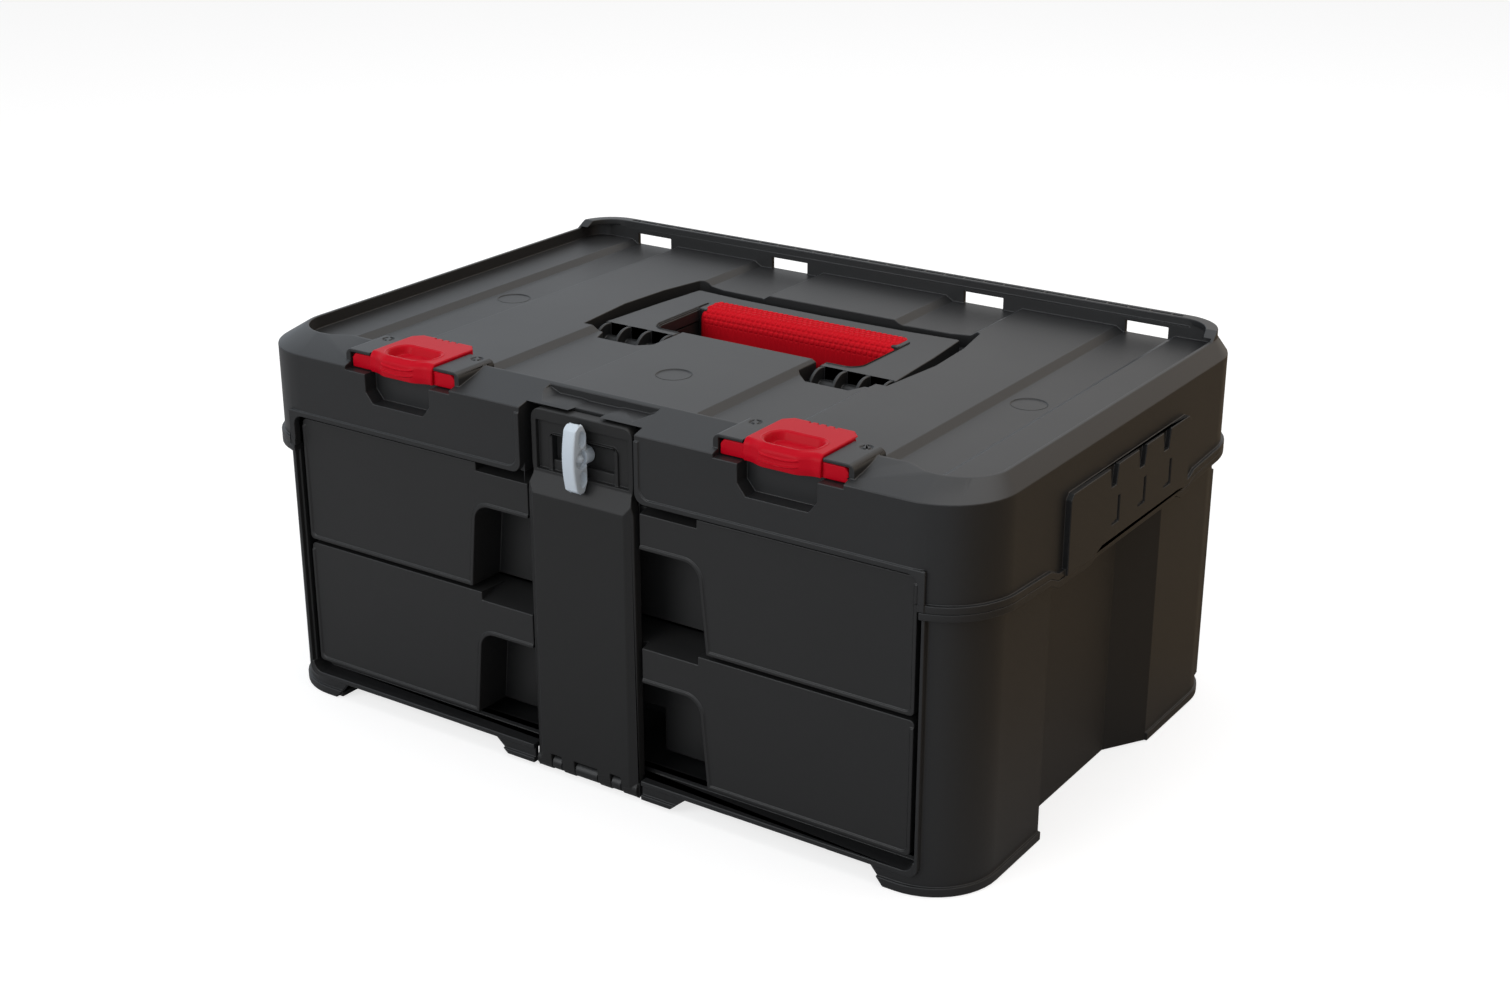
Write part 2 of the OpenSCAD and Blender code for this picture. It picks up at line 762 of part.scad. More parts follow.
// raised edge of the fascia, along its bottom, beside the flap and beside the drawers
module fascia_lip() {
  difference() {
    block(bay_half - 1, open_half + lip_w, front_y - lip_out, front_y + 1, seam_z - 20, fascia_z1 - 3);
    along_y(round_box(bay_half + lip_w, open_half + big, fascia_z0 + lip_w, fascia_z1 + big, lip_r),
      front_y - 3, front_y + 2);
    block(open_half + lip_w - lip_r, big, front_y - 3, front_y + 2, fascia_z0 + lip_w, big);
  }
}

module cover_screws() {
  color("silver") at_shell() for (x = [-column_x, column_x], y = column_ys)
    translate([x, y, ledge_z]) screw(14, screw_r - 0.1, screw_head_r, 2.2);
}

// ---------- hinge pins ----------

module flap_hinge_pin() {
  color("silver") at_shell() rod_x(flap_pin_d / 2 - pin_gap, -flap_half + 1, flap_half - 1, hinge_y, hinge_z);
}

module handle_pins() {
  color("silver") at_shell() both_sides()
    rod_x(handle_pin_d / 2 - pin_gap, pocket_x0 - 1.5, pocket_x1 + 1.5, hinge_hy, hinge_hz);
}

// ---------- ball slides ----------

// case half of a slide: a channel fixed to the case ribs, drawn for the right side
module rail(z) {
  color("silver") at_shell() difference() {
    union() {
      block(rib_x - steel_t, rib_x, slide_y0, slide_y1, z - slide_h / 2, z + slide_h / 2);
      for (s = [-1, 1])
        block(lip_x, rib_x, slide_y0, slide_y1, z + s * (slide_h - steel_t) / 2 - steel_t / 2,
          z + s * (slide_h - steel_t) / 2 + steel_t / 2);
      // stop at the back
      block(lip_x + 4, rib_x, slide_y1 - 2, slide_y1, z - slide_h / 2, z + slide_h / 2);
    }
    for (y = rail_screw_ys)
      rod_x(screw_r + pin_gap, rib_x - 3, rib_x + 1, y, z);
  }
}

// drawer half of a slide, fixed to the tray
module runner(z) {
  runner_y1 = slide_y1 - 3;
  color("gainsboro") at_shell() difference() {
    union() {
      block(tray_half, tray_half + steel_t, slide_y0, runner_y1, z - runner_h / 2, z + runner_h / 2);
      for (s = [-1, 1])
        block(tray_half, tray_half + runner_depth, slide_y0, runner_y1,
          z + s * (runner_h - steel_t) / 2 - steel_t / 2, z + s * (runner_h - steel_t) / 2 + steel_t / 2);
    }
    for (y = runner_screw_ys) rod_x(screw_r + pin_gap, tray_half - 1, tray_half + 3, y, z);
  }
}

function ball_ys() = [for (i = [0:balls_in_row - 1]) cage_y0 + cage_len * (i + 0.5) / balls_in_row];

module ball_cage(z) {
  color("dimgray") at_shell() difference() {
    union() {
      block(cage_web, cage_web + cage_t, cage_y0, cage_y0 + cage_len,
        z - race_z - cage_t / 2, z + race_z + cage_t / 2);
      for (s = [-1, 1])
        block(tray_half + 3, cage_web + cage_t, cage_y0, cage_y0 + cage_len, z + s * race_z - cage_t / 2,
          z + s * race_z + cage_t / 2);
    }
    for (s = [-1, 1], y = ball_ys())
      translate([ball_x, y, z + s * race_z - cage_t]) cylinder(r = ball_d / 2 + pin_gap, h = 2 * cage_t);
  }
}

module balls(z) {
  color("silver") at_shell() for (s = [-1, 1], y = ball_ys())
    translate([ball_x, y, z + s * race_z]) sphere(r = ball_d / 2, $fn = 24);
}

module rail_screws() {
  color("dimgray") at_shell() for (side = [0, 1], z = [upper_slide_z, lower_slide_z], y = rail_screw_ys)
    mirror([side, 0, 0]) translate([rib_x - steel_t, y, z]) rotate([0, 90, 0])
      screw(rail_screw_len, screw_r, screw_head_r, flat_head_h);
}

module runner_screws(z) {
  color("dimgray") at_shell() for (side = [0, 1], y = runner_screw_ys)
    mirror([side, 0, 0]) translate([tray_half + steel_t, y, z]) rotate([0, -90, 0])
      screw(steel_t + tray_wall, screw_r, screw_head_r, screw_head_h);
}

// ---------- drawers ----------

// right half of the pull recess seen from the front, wider at its open bottom, grown by t
function pull_side(z0, z1, t) = concat(
  [[0, z0 - 1], [pull_half + pull_lean + t, z0 - 1], [pull_half + 1 + t, z1 - pull_r]],
  arc_points([pull_half + 1 - pull_r, z1 - pull_r], pull_r + t, 0, 90));

// thin raised beads round the face and round the pull recess
module face_beads(half, z0, z1, pull_z) {
  difference() {
    along_y(round_box(-half, half, z0, z1, 3), face_y - face_bead_out, face_y + eps);
    along_y(round_box(-half + face_bead_w, half - face_bead_w, z0 + face_bead_w, z1 + 20, 3),
      face_y - 2, face_y);
    block(-big, big, face_y - 2, face_y, z1 - 4, z1 + 1);
  }
  intersection() {
    along_y(concat(pull_side(z0, pull_z, face_bead_w), flipped(pull_side(z0, pull_z, face_bead_w))),
      face_y - face_bead_out, face_y + eps);
    block(-half, half, face_y - 2, face_y + 1, z0, z1);
  }
}

module drawer_front(z0, z1, scoop) {
  half = drawer_w / 2;
  pull_z = z1 - strip_h;
  hollow_front = face_y + skin;
  color("#242424") at_shell() difference() {
    union() {
      difference() {
        union() {
          along_y(round_box(-half, half, z0, z1, 3), face_y, front_back);
          face_beads(half, z0, z1, pull_z);
        }
        // hollows at the back, left and right of the pull recess
        both_sides()
          block(pull_half + pull_lean + skin, half - skin, hollow_front, front_back + 1, z0 + skin, z1 - skin);
        block(-pull_half, pull_half, channel_y + skin, front_back + 1, pull_z + skin, z1 - step_drop - skin);
        // pull recess, open at the bottom
        along_y(concat(pull_side(z0, pull_z, 0), flipped(pull_side(z0, pull_z, 0))), face_y - 5, pull_back);
        // channel for the flap
        block(-channel_half, channel_half, face_y - 5, channel_y, pull_z - 1, z1 + 1);
        // sloping ledge along the top
        along_x([[face_y - 1, z1 + 1], [face_y - 1, z1 - step_drop], [face_y + 1, z1 - step_drop],
          [face_y + 20, z1], [face_y + 20, z1 + 1]], -step_half, step_half);
        if (scoop)
          block(-scoop_half + skin, scoop_half - skin, pull_back - 1, front_back + 1, z0 - 1, scoop_z);
      }
      // screw bosses
      for (x = front_screw_xs, s = [-1, 1])
        rod_y(4, hollow_front - eps, front_back, s * x, (z0 + z1) / 2);
    }
    for (x = front_screw_xs, s = [-1, 1])
      rod_y(screw_r + pin_gap, front_back - 12, front_back + 1, s * x, (z0 + z1) / 2);
  }
}

// profile of the scoop that clears the swinging flap, as [y, z], lifted by t
function scoop_profile(t) = [
  [front_back - 3, lower_z0 - 10], [scoop_back + t, lower_z0 - 10], [scoop_back + t, lower_z0 + t],
  [front_back + t, scoop_z + t], [front_back - 3, scoop_z + t]];

module drawer_tray(z0, z1, slide_z, scoop) {
  t = tray_wall;
  tray_z0 = z0 + 2;
  tray_z1 = z1 - 4;
  color("#2f3235") at_shell() difference() {
    union() {
      difference() {
        slab(round_box(-tray_half, tray_half, front_back, tray_y1, 4), tray_z0, tray_z1);
        slab(round_box(-tray_half + t, tray_half - t, front_back + t, tray_y1 - t, 6), tray_z0 + t, tray_z1 + 1);
      }
      if (scoop) intersection() {
        along_x(scoop_profile(t), -scoop_half, scoop_half);
        block(-big, big, front_back, tray_y1, tray_z0, tray_z1);
      }
    }
    if (scoop) along_x(scoop_profile(0), -scoop_half + skin, scoop_half - skin);
    for (x = front_screw_xs, s = [-1, 1])
      rod_y(screw_r + pin_gap, front_back - 1, front_back + t + 1, s * x, (z0 + z1) / 2);
    both_sides() for (y = runner_screw_ys)
      rod_x(screw_r + pin_gap, tray_half - t - 1, tray_half + 1, y, slide_z);
  }
}

module front_screws(z0, z1) {
  color("dimgray") at_shell() for (x = front_screw_xs, s = [-1, 1])
    translate([s * x, front_back + tray_wall, (z0 + z1) / 2]) rotate([90, 0, 0])
      screw(tray_wall + 9, screw_r, screw_head_r, 2.2);
}

// ---------- flap and lock ----------

module front_flap() {
  // right half of the outline seen from the front: lower part, shoulder and head
  flap_side = concat(
    [[0, flap_z0], [flap_half, flap_z0], [flap_half, shoulder_z0], [head_half - 0.8, shoulder_z1],
      [head_half, shoulder_z1 + 6]],
    arc_points([head_half - head_r, head_top - head_r], head_r, 0, 90));
  web = 3;
  rib = 3;
  slot_half = 20.5;
  slot_h = 7;
  u_half = 23;
  color("#26282b") at_shell() difference() {
    union() {
      difference() {
        intersection() {
          along_y(concat(flap_side, flipped(flap_side)), flap_front - 1, head_back + 1);
          // chamfered side edges
          slab([[-flap_half, head_back + 2], [-flap_half, flap_front + 3], [-flap_face_half, flap_front],
            [flap_face_half, flap_front], [flap_half, flap_front + 3], [flap_half, head_back + 2]], 0, big);
          along_x([[flap_front + 2.5, flap_z0], [flap_front, hinge_z + 3], [flap_front, shoulder_z0],
            [head_rim_y, shoulder_z1 + 1.5], [head_rim_y, head_top], [head_back, head_top],
            [head_back, upper_z1 + 1.5], [flap_back, upper_z1 + 0.5], [flap_back, flap_z0]], -big, big);
        }
        // hollow back of the lower part
        block(-flap_half + web, flap_half - web, flap_front + web, head_back + 5,
          hinge_z + 8, shoulder_z0 - 10);
        // sunk face of the head
        block(-head_half + web + 0.3, head_half - web - 0.3, flap_front - 2, head_plate_y,
          shoulder_z1 + 3, head_top - 6.5);
      }
      // stiffening ribs behind the face
      for (x = [-11, 11])
        block(x - rib / 2, x + rib / 2, flap_front + web - eps, flap_back - 1, hinge_z + 7, shoulder_z0 - 9);
      // hoop-shaped rib round the knob slot
      difference() {
        along_y(round_box(-u_half, u_half, shoulder_z1 + 2.9 - 4, knob_z + 4.5 + slot_h / 2, 4),
          head_rim_y + 1.2, head_plate_y + eps);
        block(-slot_half, slot_half, head_rim_y - 1, head_plate_y + 1, shoulder_z1, knob_z + 2 + slot_h / 2);
      }
      // hinge barrel
      rod_x(knuckle_r, -flap_half + 0.5, flap_half - 0.5, hinge_y, hinge_z);
    }
    block(-slot_half, slot_half, head_rim_y - 1, head_floor_y, knob_z - slot_h, knob_z + slot_h);
    rod_y(spindle_r + pin_gap, head_floor_y - 1, head_back + 1, 0, knob_z);
    // windows round the knuckles of the body
    block(-centre_knuckle - fit_gap, centre_knuckle + fit_gap, flap_front - 1, flap_back + 5, 0, window_z);
    for (s = [-1, 1])
      translate([s * side_knuckle_x, 0, 0])
        block(-side_knuckle - fit_gap, side_knuckle + fit_gap, flap_front - 1, flap_back + 5, 0, window_z);
    rod_x(flap_pin_d / 2, -flap_half + 1, flap_half - 1, hinge_y, hinge_z);
  }
}

module lock_knob() {
  wing_back = head_rim_y - 0.3;
  wing_front = front_y - knob_reach;
  half = knob_h / 2;
  // the wing's ends lean away from the shoulders of the flap
  tip_back = flap_front + 1.6;
  lean_h = shoulder_z1 + 2.5 - (knob_z - half);
  bulge_r = 62;
  hollow_pitch = 11.4;
  color("lightgray") at_shell() translate([0, 0, knob_z]) difference() {
    union() {
      // wing with a bulging front edge
      intersection() {
        block(-4.2, 4.2, wing_front, wing_back, -half, half);
        rod_x(bulge_r, -10, 10, wing_front + bulge_r, 0);
        along_x([[wing_front, -half + 2.5], [wing_front + 2.5, -half], [tip_back, -half],
          [wing_back, lean_h - half], [wing_back, half - lean_h], [tip_back, half],
          [wing_front + 2.5, half], [wing_front, half - 2.5]], -10, 10);
      }
      rod_y(boss_r, wing_back - 1, head_floor_y - 0.3, 0, 0);
      rod_y(spindle_r, head_floor_y - 1, cam_y + cam_t, 0, 0);
    }
    // three hollows in each side
    for (s = [0, 1], z = [-hollow_pitch, 0, hollow_pitch]) mirror([s, 0, 0]) translate([0, 0, z])
      along_x(round_box(wing_front + 3.4 + abs(z) / 12, wing_back - 1, -4.3, 4.3, 2), 2, 5);
    rod_y(cam_screw_r, cam_y - 5, cam_y + cam_t + 1, 0, 0);
  }
}

module lock_cam() {
  color("silver") at_shell() translate([0, 0, knob_z]) difference() {
    along_y(round_box(-cam_w / 2, cam_w / 2, -cam_half, cam_half, 4), cam_y, cam_y + cam_t);
    rod_y(spindle_r, cam_y - 1, cam_y + cam_t + 1, 0, 0);
  }
}

module cam_screw() {
  color("dimgray") at_shell() translate([0, cam_y + cam_t, knob_z]) rotate([90, 0, 0])
    screw(7, cam_screw_r - 0.02, 3.9, 1.6);
}

// ---------- stacking latches ----------

module latch() {
  color("red") difference() {
    union() {
      // face and top plate, with the rear corners cut off
      intersection() {
        along_x([[front_y + 3.4, latch_z0], [front_y + 2.2, latch_z0 + 4], [front_y + 2.2, latch_z0 + 7],
          [front_y + 6, latch_top - 1.2], [front_y + 10, latch_top], [latch_back - 2, latch_top],
          [latch_back, latch_top - 1], [latch_back, bay_floor + 0.4], [front_y + 8, bay_floor + 0.4],
          [front_y + 8, latch_z0]], -latch_half, latch_half);
        slab([[-latch_half, front_y - 5], [latch_half, front_y - 5], [latch_half, latch_back - 5],
          [latch_half - 3.5, latch_back], [3.5 - latch_half, latch_back], [-latch_half, latch_back - 5]],
          0, big);
      }
      // side bars with their upper ends cut off
      along_y([[-latch_bar_half, latch_z0], [latch_bar_half, latch_z0], [latch_bar_half, bar_top - 2.5],
        [latch_bar_half - 2, bar_top], [2 - latch_bar_half, bar_top], [-latch_bar_half, bar_top - 2.5]],
        bar_front, front_y + 10);
      // foot in the slot of the cover
      block(-foot_neck, foot_neck, foot_y0, foot_y1, foot_z0 + 1, bay_floor + 1);
      block(-foot_half, foot_half, foot_y0, foot_y1, foot_z0, foot_z0 + foot_t);
    }
    // thumb hollow
    slab(round_box(-thumb_half, thumb_half, front_y + 12, front_y + 29, 7), latch_top - 3.4, latch_top + 1);
    // notches along the rear edge
    for (i = [-2:2]) translate([i * 5, 0, 0])
      block(-1.2, 1.2, latch_back - 1.4, latch_back + 1, latch_top - 1.6, latch_top + 1);
  }
}

module left_latch() {
  at_shell() translate([-latch_x, 0, 0]) latch();
}

module right_latch() {
  at_shell() translate([latch_x, 0, 0]) latch();
}

// ---------- carrying handle ----------

module handle_frame() {
  plate_z0 = handle_top - plate_t;
  frame_side = [[handle_half, hinge_hy + 3], [handle_half - 1.2, hinge_hy + 18],
    [handle_half - 3.5, frame_back - 39], [handle_half - 7.5, frame_back - 1], [handle_half - 9, frame_back],
    [handle_half - 41, frame_back - 2.5], [0, frame_back - 3.5]];
  frame_gap = [[disc_x - 1, hinge_hy], [disc_x - 1, hole_y0 + 1]];
  edge = 2.5;
  color("#303336") at_shell() difference() {
    union() {
      // flat frame with the hand hole
      difference() {
        slab(concat(frame_side, flipped(frame_side)), plate_z0, handle_top);
        slab(round_box(-hole_half, hole_half, hole_y0, grip_y1 + 0.5, 8), plate_z0 - 1, handle_top + 1);
        // the rolled edge of the hand hole
        for (i = [0:3])
          slab(round_box(-hole_half - edge * (1 - cos(i * 25)), hole_half + edge * (1 - cos(i * 25)),
            hole_y0 - edge * (1 - cos(i * 25)), grip_y1 + 0.5, 8 + edge * (1 - cos(i * 25))),
            handle_top - edge * (1 - sin(i * 25)), handle_top + 1);
        slab(concat(frame_gap, flipped(frame_gap)), plate_z0 - 1, handle_top + 1);
        both_sides()
          block(hole_half + edge, handle_half - 8, hole_y0, frame_back - 21, plate_z0 - 1, handle_top - 2.8);
      }
      // bar that carries the grip
      block(-hole_half - 1, hole_half + 1, grip_y0 + 3, grip_y1 - 3, grip_z0 + 3, grip_z1 - 4);
      // collars at the ends of the grip
      both_sides()
        block(grip_half + 0.2, hole_half + 1, grip_y0 + 1.5, grip_y1 + 1, grip_z0 + 2, grip_z1 - 2.5);
      // hinge hubs and discs
      both_sides() {
        rod_x(5.2, pocket_x0 + 1, handle_half, hinge_hy, hinge_hz);
        block(disc_x, handle_half, hinge_hy + 3, hinge_hy + 6, hinge_hz + 1, plate_z0 + 1);
        for (i = [0:3])
          translate([disc_x + i * disc_pitch, 0, 0]) rod_x(disc_r, 0, disc_t, hinge_hy, hinge_hz);
      }
    }
    both_sides() rod_x(handle_pin_d / 2, pocket_x0, handle_half + 1, hinge_hy, hinge_hz);
  }
}

module handle_grip() {
  shape = round_box(grip_y0, grip_y1, grip_z0, grip_z1, 7);
  color("firebrick") at_shell() difference() {
    along_x(shape, -grip_half, grip_half);
    block(-grip_half - 1, grip_half + 1, grip_y0 + 3, grip_y1 - 3, grip_z0 + 3, grip_z1 - 4);
  }
}

lower_body();
top_cover();
cover_screws();
flap_hinge_pin();
handle_pins();
mirror([1, 0, 0]) rail(upper_slide_z);  // upper_left_rail
rail(upper_slide_z);  // upper_right_rail
mirror([1, 0, 0]) rail(lower_slide_z);  // lower_left_rail
rail(lower_slide_z);  // lower_right_rail
rail_screws();
drawer_front(upper_z0, upper_z1, false);  // upper_drawer_front
drawer_tray(upper_z0, upper_z1, upper_slide_z, false);  // upper_drawer_tray
front_screws(upper_z0, upper_z1);  // upper_front_screws
mirror([1, 0, 0]) runner(upper_slide_z);  // upper_left_runner
runner(upper_slide_z);  // upper_right_runner
runner_screws(upper_slide_z);  // upper_runner_screws
drawer_front(lower_z0, lower_z1, true);  // lower_drawer_front
drawer_tray(lower_z0, lower_z1, lower_slide_z, true);  // lower_drawer_tray
front_screws(lower_z0, lower_z1);  // lower_front_screws
mirror([1, 0, 0]) runner(lower_slide_z);  // lower_left_runner
runner(lower_slide_z);  // lower_right_runner
runner_screws(lower_slide_z);  // lower_runner_screws
mirror([1, 0, 0]) ball_cage(upper_slide_z);  // upper_left_ball_cage
mirror([1, 0, 0]) balls(upper_slide_z);  // upper_left_balls
ball_cage(upper_slide_z);  // upper_right_ball_cage
balls(upper_slide_z);  // upper_right_balls
mirror([1, 0, 0]) ball_cage(lower_slide_z);  // lower_left_ball_cage
mirror([1, 0, 0]) balls(lower_slide_z);  // lower_left_balls
ball_cage(lower_slide_z);  // lower_right_ball_cage
balls(lower_slide_z);  // lower_right_balls
front_flap();
lock_knob();
lock_cam();
cam_screw();
left_latch();
right_latch();
handle_frame();
handle_grip();
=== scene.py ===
from math import pi, radians

import bmesh
import bpy
import numpy as np
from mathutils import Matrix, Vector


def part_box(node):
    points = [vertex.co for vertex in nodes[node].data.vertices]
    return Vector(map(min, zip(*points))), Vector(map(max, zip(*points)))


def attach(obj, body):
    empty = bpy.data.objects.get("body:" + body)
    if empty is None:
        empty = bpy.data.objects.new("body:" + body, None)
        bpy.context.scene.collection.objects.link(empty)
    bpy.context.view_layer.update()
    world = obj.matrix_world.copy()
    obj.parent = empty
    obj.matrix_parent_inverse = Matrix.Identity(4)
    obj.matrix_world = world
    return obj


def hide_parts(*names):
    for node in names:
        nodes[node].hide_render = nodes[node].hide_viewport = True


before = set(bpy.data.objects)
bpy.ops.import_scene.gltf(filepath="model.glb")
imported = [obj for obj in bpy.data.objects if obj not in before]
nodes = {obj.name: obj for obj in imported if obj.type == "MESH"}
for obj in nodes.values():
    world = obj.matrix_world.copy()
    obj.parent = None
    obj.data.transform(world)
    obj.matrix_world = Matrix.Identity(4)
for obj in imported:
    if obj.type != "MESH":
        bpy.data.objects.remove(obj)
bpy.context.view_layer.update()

# ---------------------------------------------------------------------------
# The studio: a floor that melts into a white room, four soft lamps, and a
# camera before the right-hand corner, above the box. Room and floor light the
# box cool from the left and warm from the right; the camera sees them plain.
# ---------------------------------------------------------------------------
look_down, look_round = 21.72, 34.05
camera_data = bpy.data.cameras.new("camera")
camera_data.sensor_fit = "HORIZONTAL"
camera_data.sensor_width = 36.0
camera_data.lens = 51.79
camera_data.clip_end = 50.0
camera = bpy.data.objects.new("camera", camera_data)
camera.location = (0.6737, -0.98855, 0.5922)
camera.rotation_euler = (radians(90 - look_down), 0.0, radians(look_round))
bpy.context.scene.collection.objects.link(camera)
bpy.context.scene.camera = camera
bpy.context.scene.view_settings.view_transform = "Standard"


def add_node(tree, kind, values=(), **settings):
    """A shader node with its settings, and the plain values of some of its inputs."""
    node = tree.nodes.new(f"ShaderNode{kind}")
    for name, setting in settings.items():
        setattr(node, name, setting)
    for name, value in dict(values).items():
        node.inputs[name].default_value = value
    return node


def tint_across(tree, position, first, last, left_colour, right_colour, seen_colour):
    """Mixes the left colour into the right one by how far the position lies along (1, 0.7, 0), between first
    and last. Gives that mix, and the mix with the seen colour in its place for camera rays."""
    link = tree.links.new
    across = add_node(tree, "VectorMath", {1: (1.0, 0.7, 0.0)}, operation="DOT_PRODUCT")
    share = add_node(tree, "MapRange", {"From Min": first, "From Max": last})
    lit = add_node(tree, "Mix", {"A": left_colour, "B": right_colour}, data_type="RGBA")
    shown = add_node(tree, "Mix", {"B": seen_colour}, data_type="RGBA")
    link(add_node(tree, "TexCoord").outputs[position], across.inputs[0])
    link(across.outputs["Value"], share.inputs["Value"])
    link(share.outputs["Result"], lit.inputs["Factor"])
    link(add_node(tree, "LightPath").outputs["Is Camera Ray"], shown.inputs["Factor"])
    link(lit.outputs["Result"], shown.inputs["A"])
    return lit.outputs["Result"], shown.outputs["Result"]


# the room: dim as light on the box, at full strength where it is mirrored, and plain white to the camera
world = bpy.data.worlds.new("white studio")
bpy.context.scene.world = world
world.use_nodes = True
tree = world.node_tree
tree.nodes.clear()
room_lit, room_shown = tint_across(tree, "Generated", first=-0.3, last=1.0,
                                   left_colour=(0.98, 1.06, 1.15, 1.0),
                                   right_colour=(0.98, 0.83, 0.68, 1.0), seen_colour=(1.0, 1.0, 1.0, 1.0))
ambient = add_node(tree, "Background", {"Strength": 0.37})
backdrop = add_node(tree, "Background", {"Strength": 1.0})
pick = add_node(tree, "MixShader")
rays = add_node(tree, "LightPath")
seen = rays.outputs["Is Camera Ray"]
for kind in ("Is Glossy Ray", "Is Transmission Ray"):
    either = add_node(tree, "Math", operation="MAXIMUM")
    tree.links.new(seen, either.inputs[0])
    tree.links.new(rays.outputs[kind], either.inputs[1])
    seen = either.outputs[0]
tree.links.new(room_lit, ambient.inputs["Color"])
tree.links.new(room_shown, backdrop.inputs["Color"])
tree.links.new(seen, pick.inputs["Fac"])
tree.links.new(ambient.outputs[0], pick.inputs[1])
tree.links.new(backdrop.outputs[0], pick.inputs[2])
tree.links.new(pick.outputs[0], add_node(tree, "OutputWorld").inputs["Surface"])


def circle(radius, sides):
    """Points spread evenly round a circle about the origin, anticlockwise."""
    turns = np.linspace(0, 2 * pi, sides + 1)[:-1]
    return radius * np.column_stack([np.cos(turns), np.sin(turns)])


# the floor: a matt disc just below the feet, with a glow for the camera alone that lifts it to white
floor_radius, floor_sides, floor_level = 9, 96, -0.0004
floor_mesh = bpy.data.meshes.new("floor")
floor_points = np.column_stack([circle(floor_radius, floor_sides), np.full(floor_sides, floor_level)])
floor_mesh.from_pydata(floor_points.tolist(), [], [tuple(range(floor_sides))])
floor = bpy.data.objects.new("floor", floor_mesh)
bpy.context.scene.collection.objects.link(floor)
floor_paint = bpy.data.materials.new("studio floor")
floor_paint.use_nodes = True
tree = floor_paint.node_tree
tree.nodes.clear()
_, floor_colour = tint_across(tree, "Object", first=0.1, last=0.4, left_colour=(0.49, 0.49, 0.50, 1.0),
                              right_colour=(0.33, 0.25, 0.165, 1.0), seen_colour=(0.42, 0.42, 0.42, 1.0))
matte = add_node(tree, "BsdfDiffuse")
dark = add_node(tree, "Emission", {"Strength": 0.0})
glow = add_node(tree, "Emission", {"Strength": 0.72})
glow_seen = add_node(tree, "MixShader")
both = add_node(tree, "AddShader")
tree.links.new(floor_colour, matte.inputs["Color"])
tree.links.new(add_node(tree, "LightPath").outputs["Is Camera Ray"], glow_seen.inputs["Fac"])
tree.links.new(dark.outputs[0], glow_seen.inputs[1])
tree.links.new(glow.outputs[0], glow_seen.inputs[2])
tree.links.new(matte.outputs[0], both.inputs[0])
tree.links.new(glow_seen.outputs[0], both.inputs[1])
tree.links.new(both.outputs[0], add_node(tree, "OutputMaterial").inputs["Surface"])
floor_mesh.materials.append(floor_paint)


def soft_lamp(name, place, size, power, colour):
    """A square area lamp at place that faces the middle of the box."""
    lamp = bpy.data.lights.new(name, "AREA")
    lamp.shape = "SQUARE"
    lamp.size = size
    lamp.energy = power
    lamp.color = colour
    holder = bpy.data.objects.new(name, lamp)
    holder.location = place
    aim = np.array((0.0, 0.0, 0.1)) - np.array(place)
    tilt = np.arctan2(np.hypot(aim[0], aim[1]), -aim[2])
    holder.rotation_euler = (tilt, 0.0, np.arctan2(-aim[0], aim[1]))
    bpy.context.scene.collection.objects.link(holder)


soft_lamp("overhead lamp", (0.3, 0.4, 2.4), size=2.4, power=35.0, colour=(1.0, 1.0, 1.0))
soft_lamp("front lamp", (-0.9, -2.6, 1.4), size=1.8, power=43.0, colour=(1.0, 0.99, 0.98))
soft_lamp("right lamp", (2.6, -0.2, 0.9), size=1.4, power=3.0, colour=(1.0, 0.62, 0.32))
soft_lamp("corner lamp", (1.5, -2.2, 0.9), size=1.2, power=7.0, colour=(0.9, 0.95, 1.0))

# ---------------------------------------------------------------------------
# Case mouldings: the lower body and the cover are injection moulded in
# charcoal polypropylene with a fine spark-eroded texture and small radii on
# every edge. The cover is screwed down on the body along the parting line.
# ---------------------------------------------------------------------------
grain_size, grain_depth, mottle = 1400.0, 0.00003, 0.12
case_edge = 0.0005


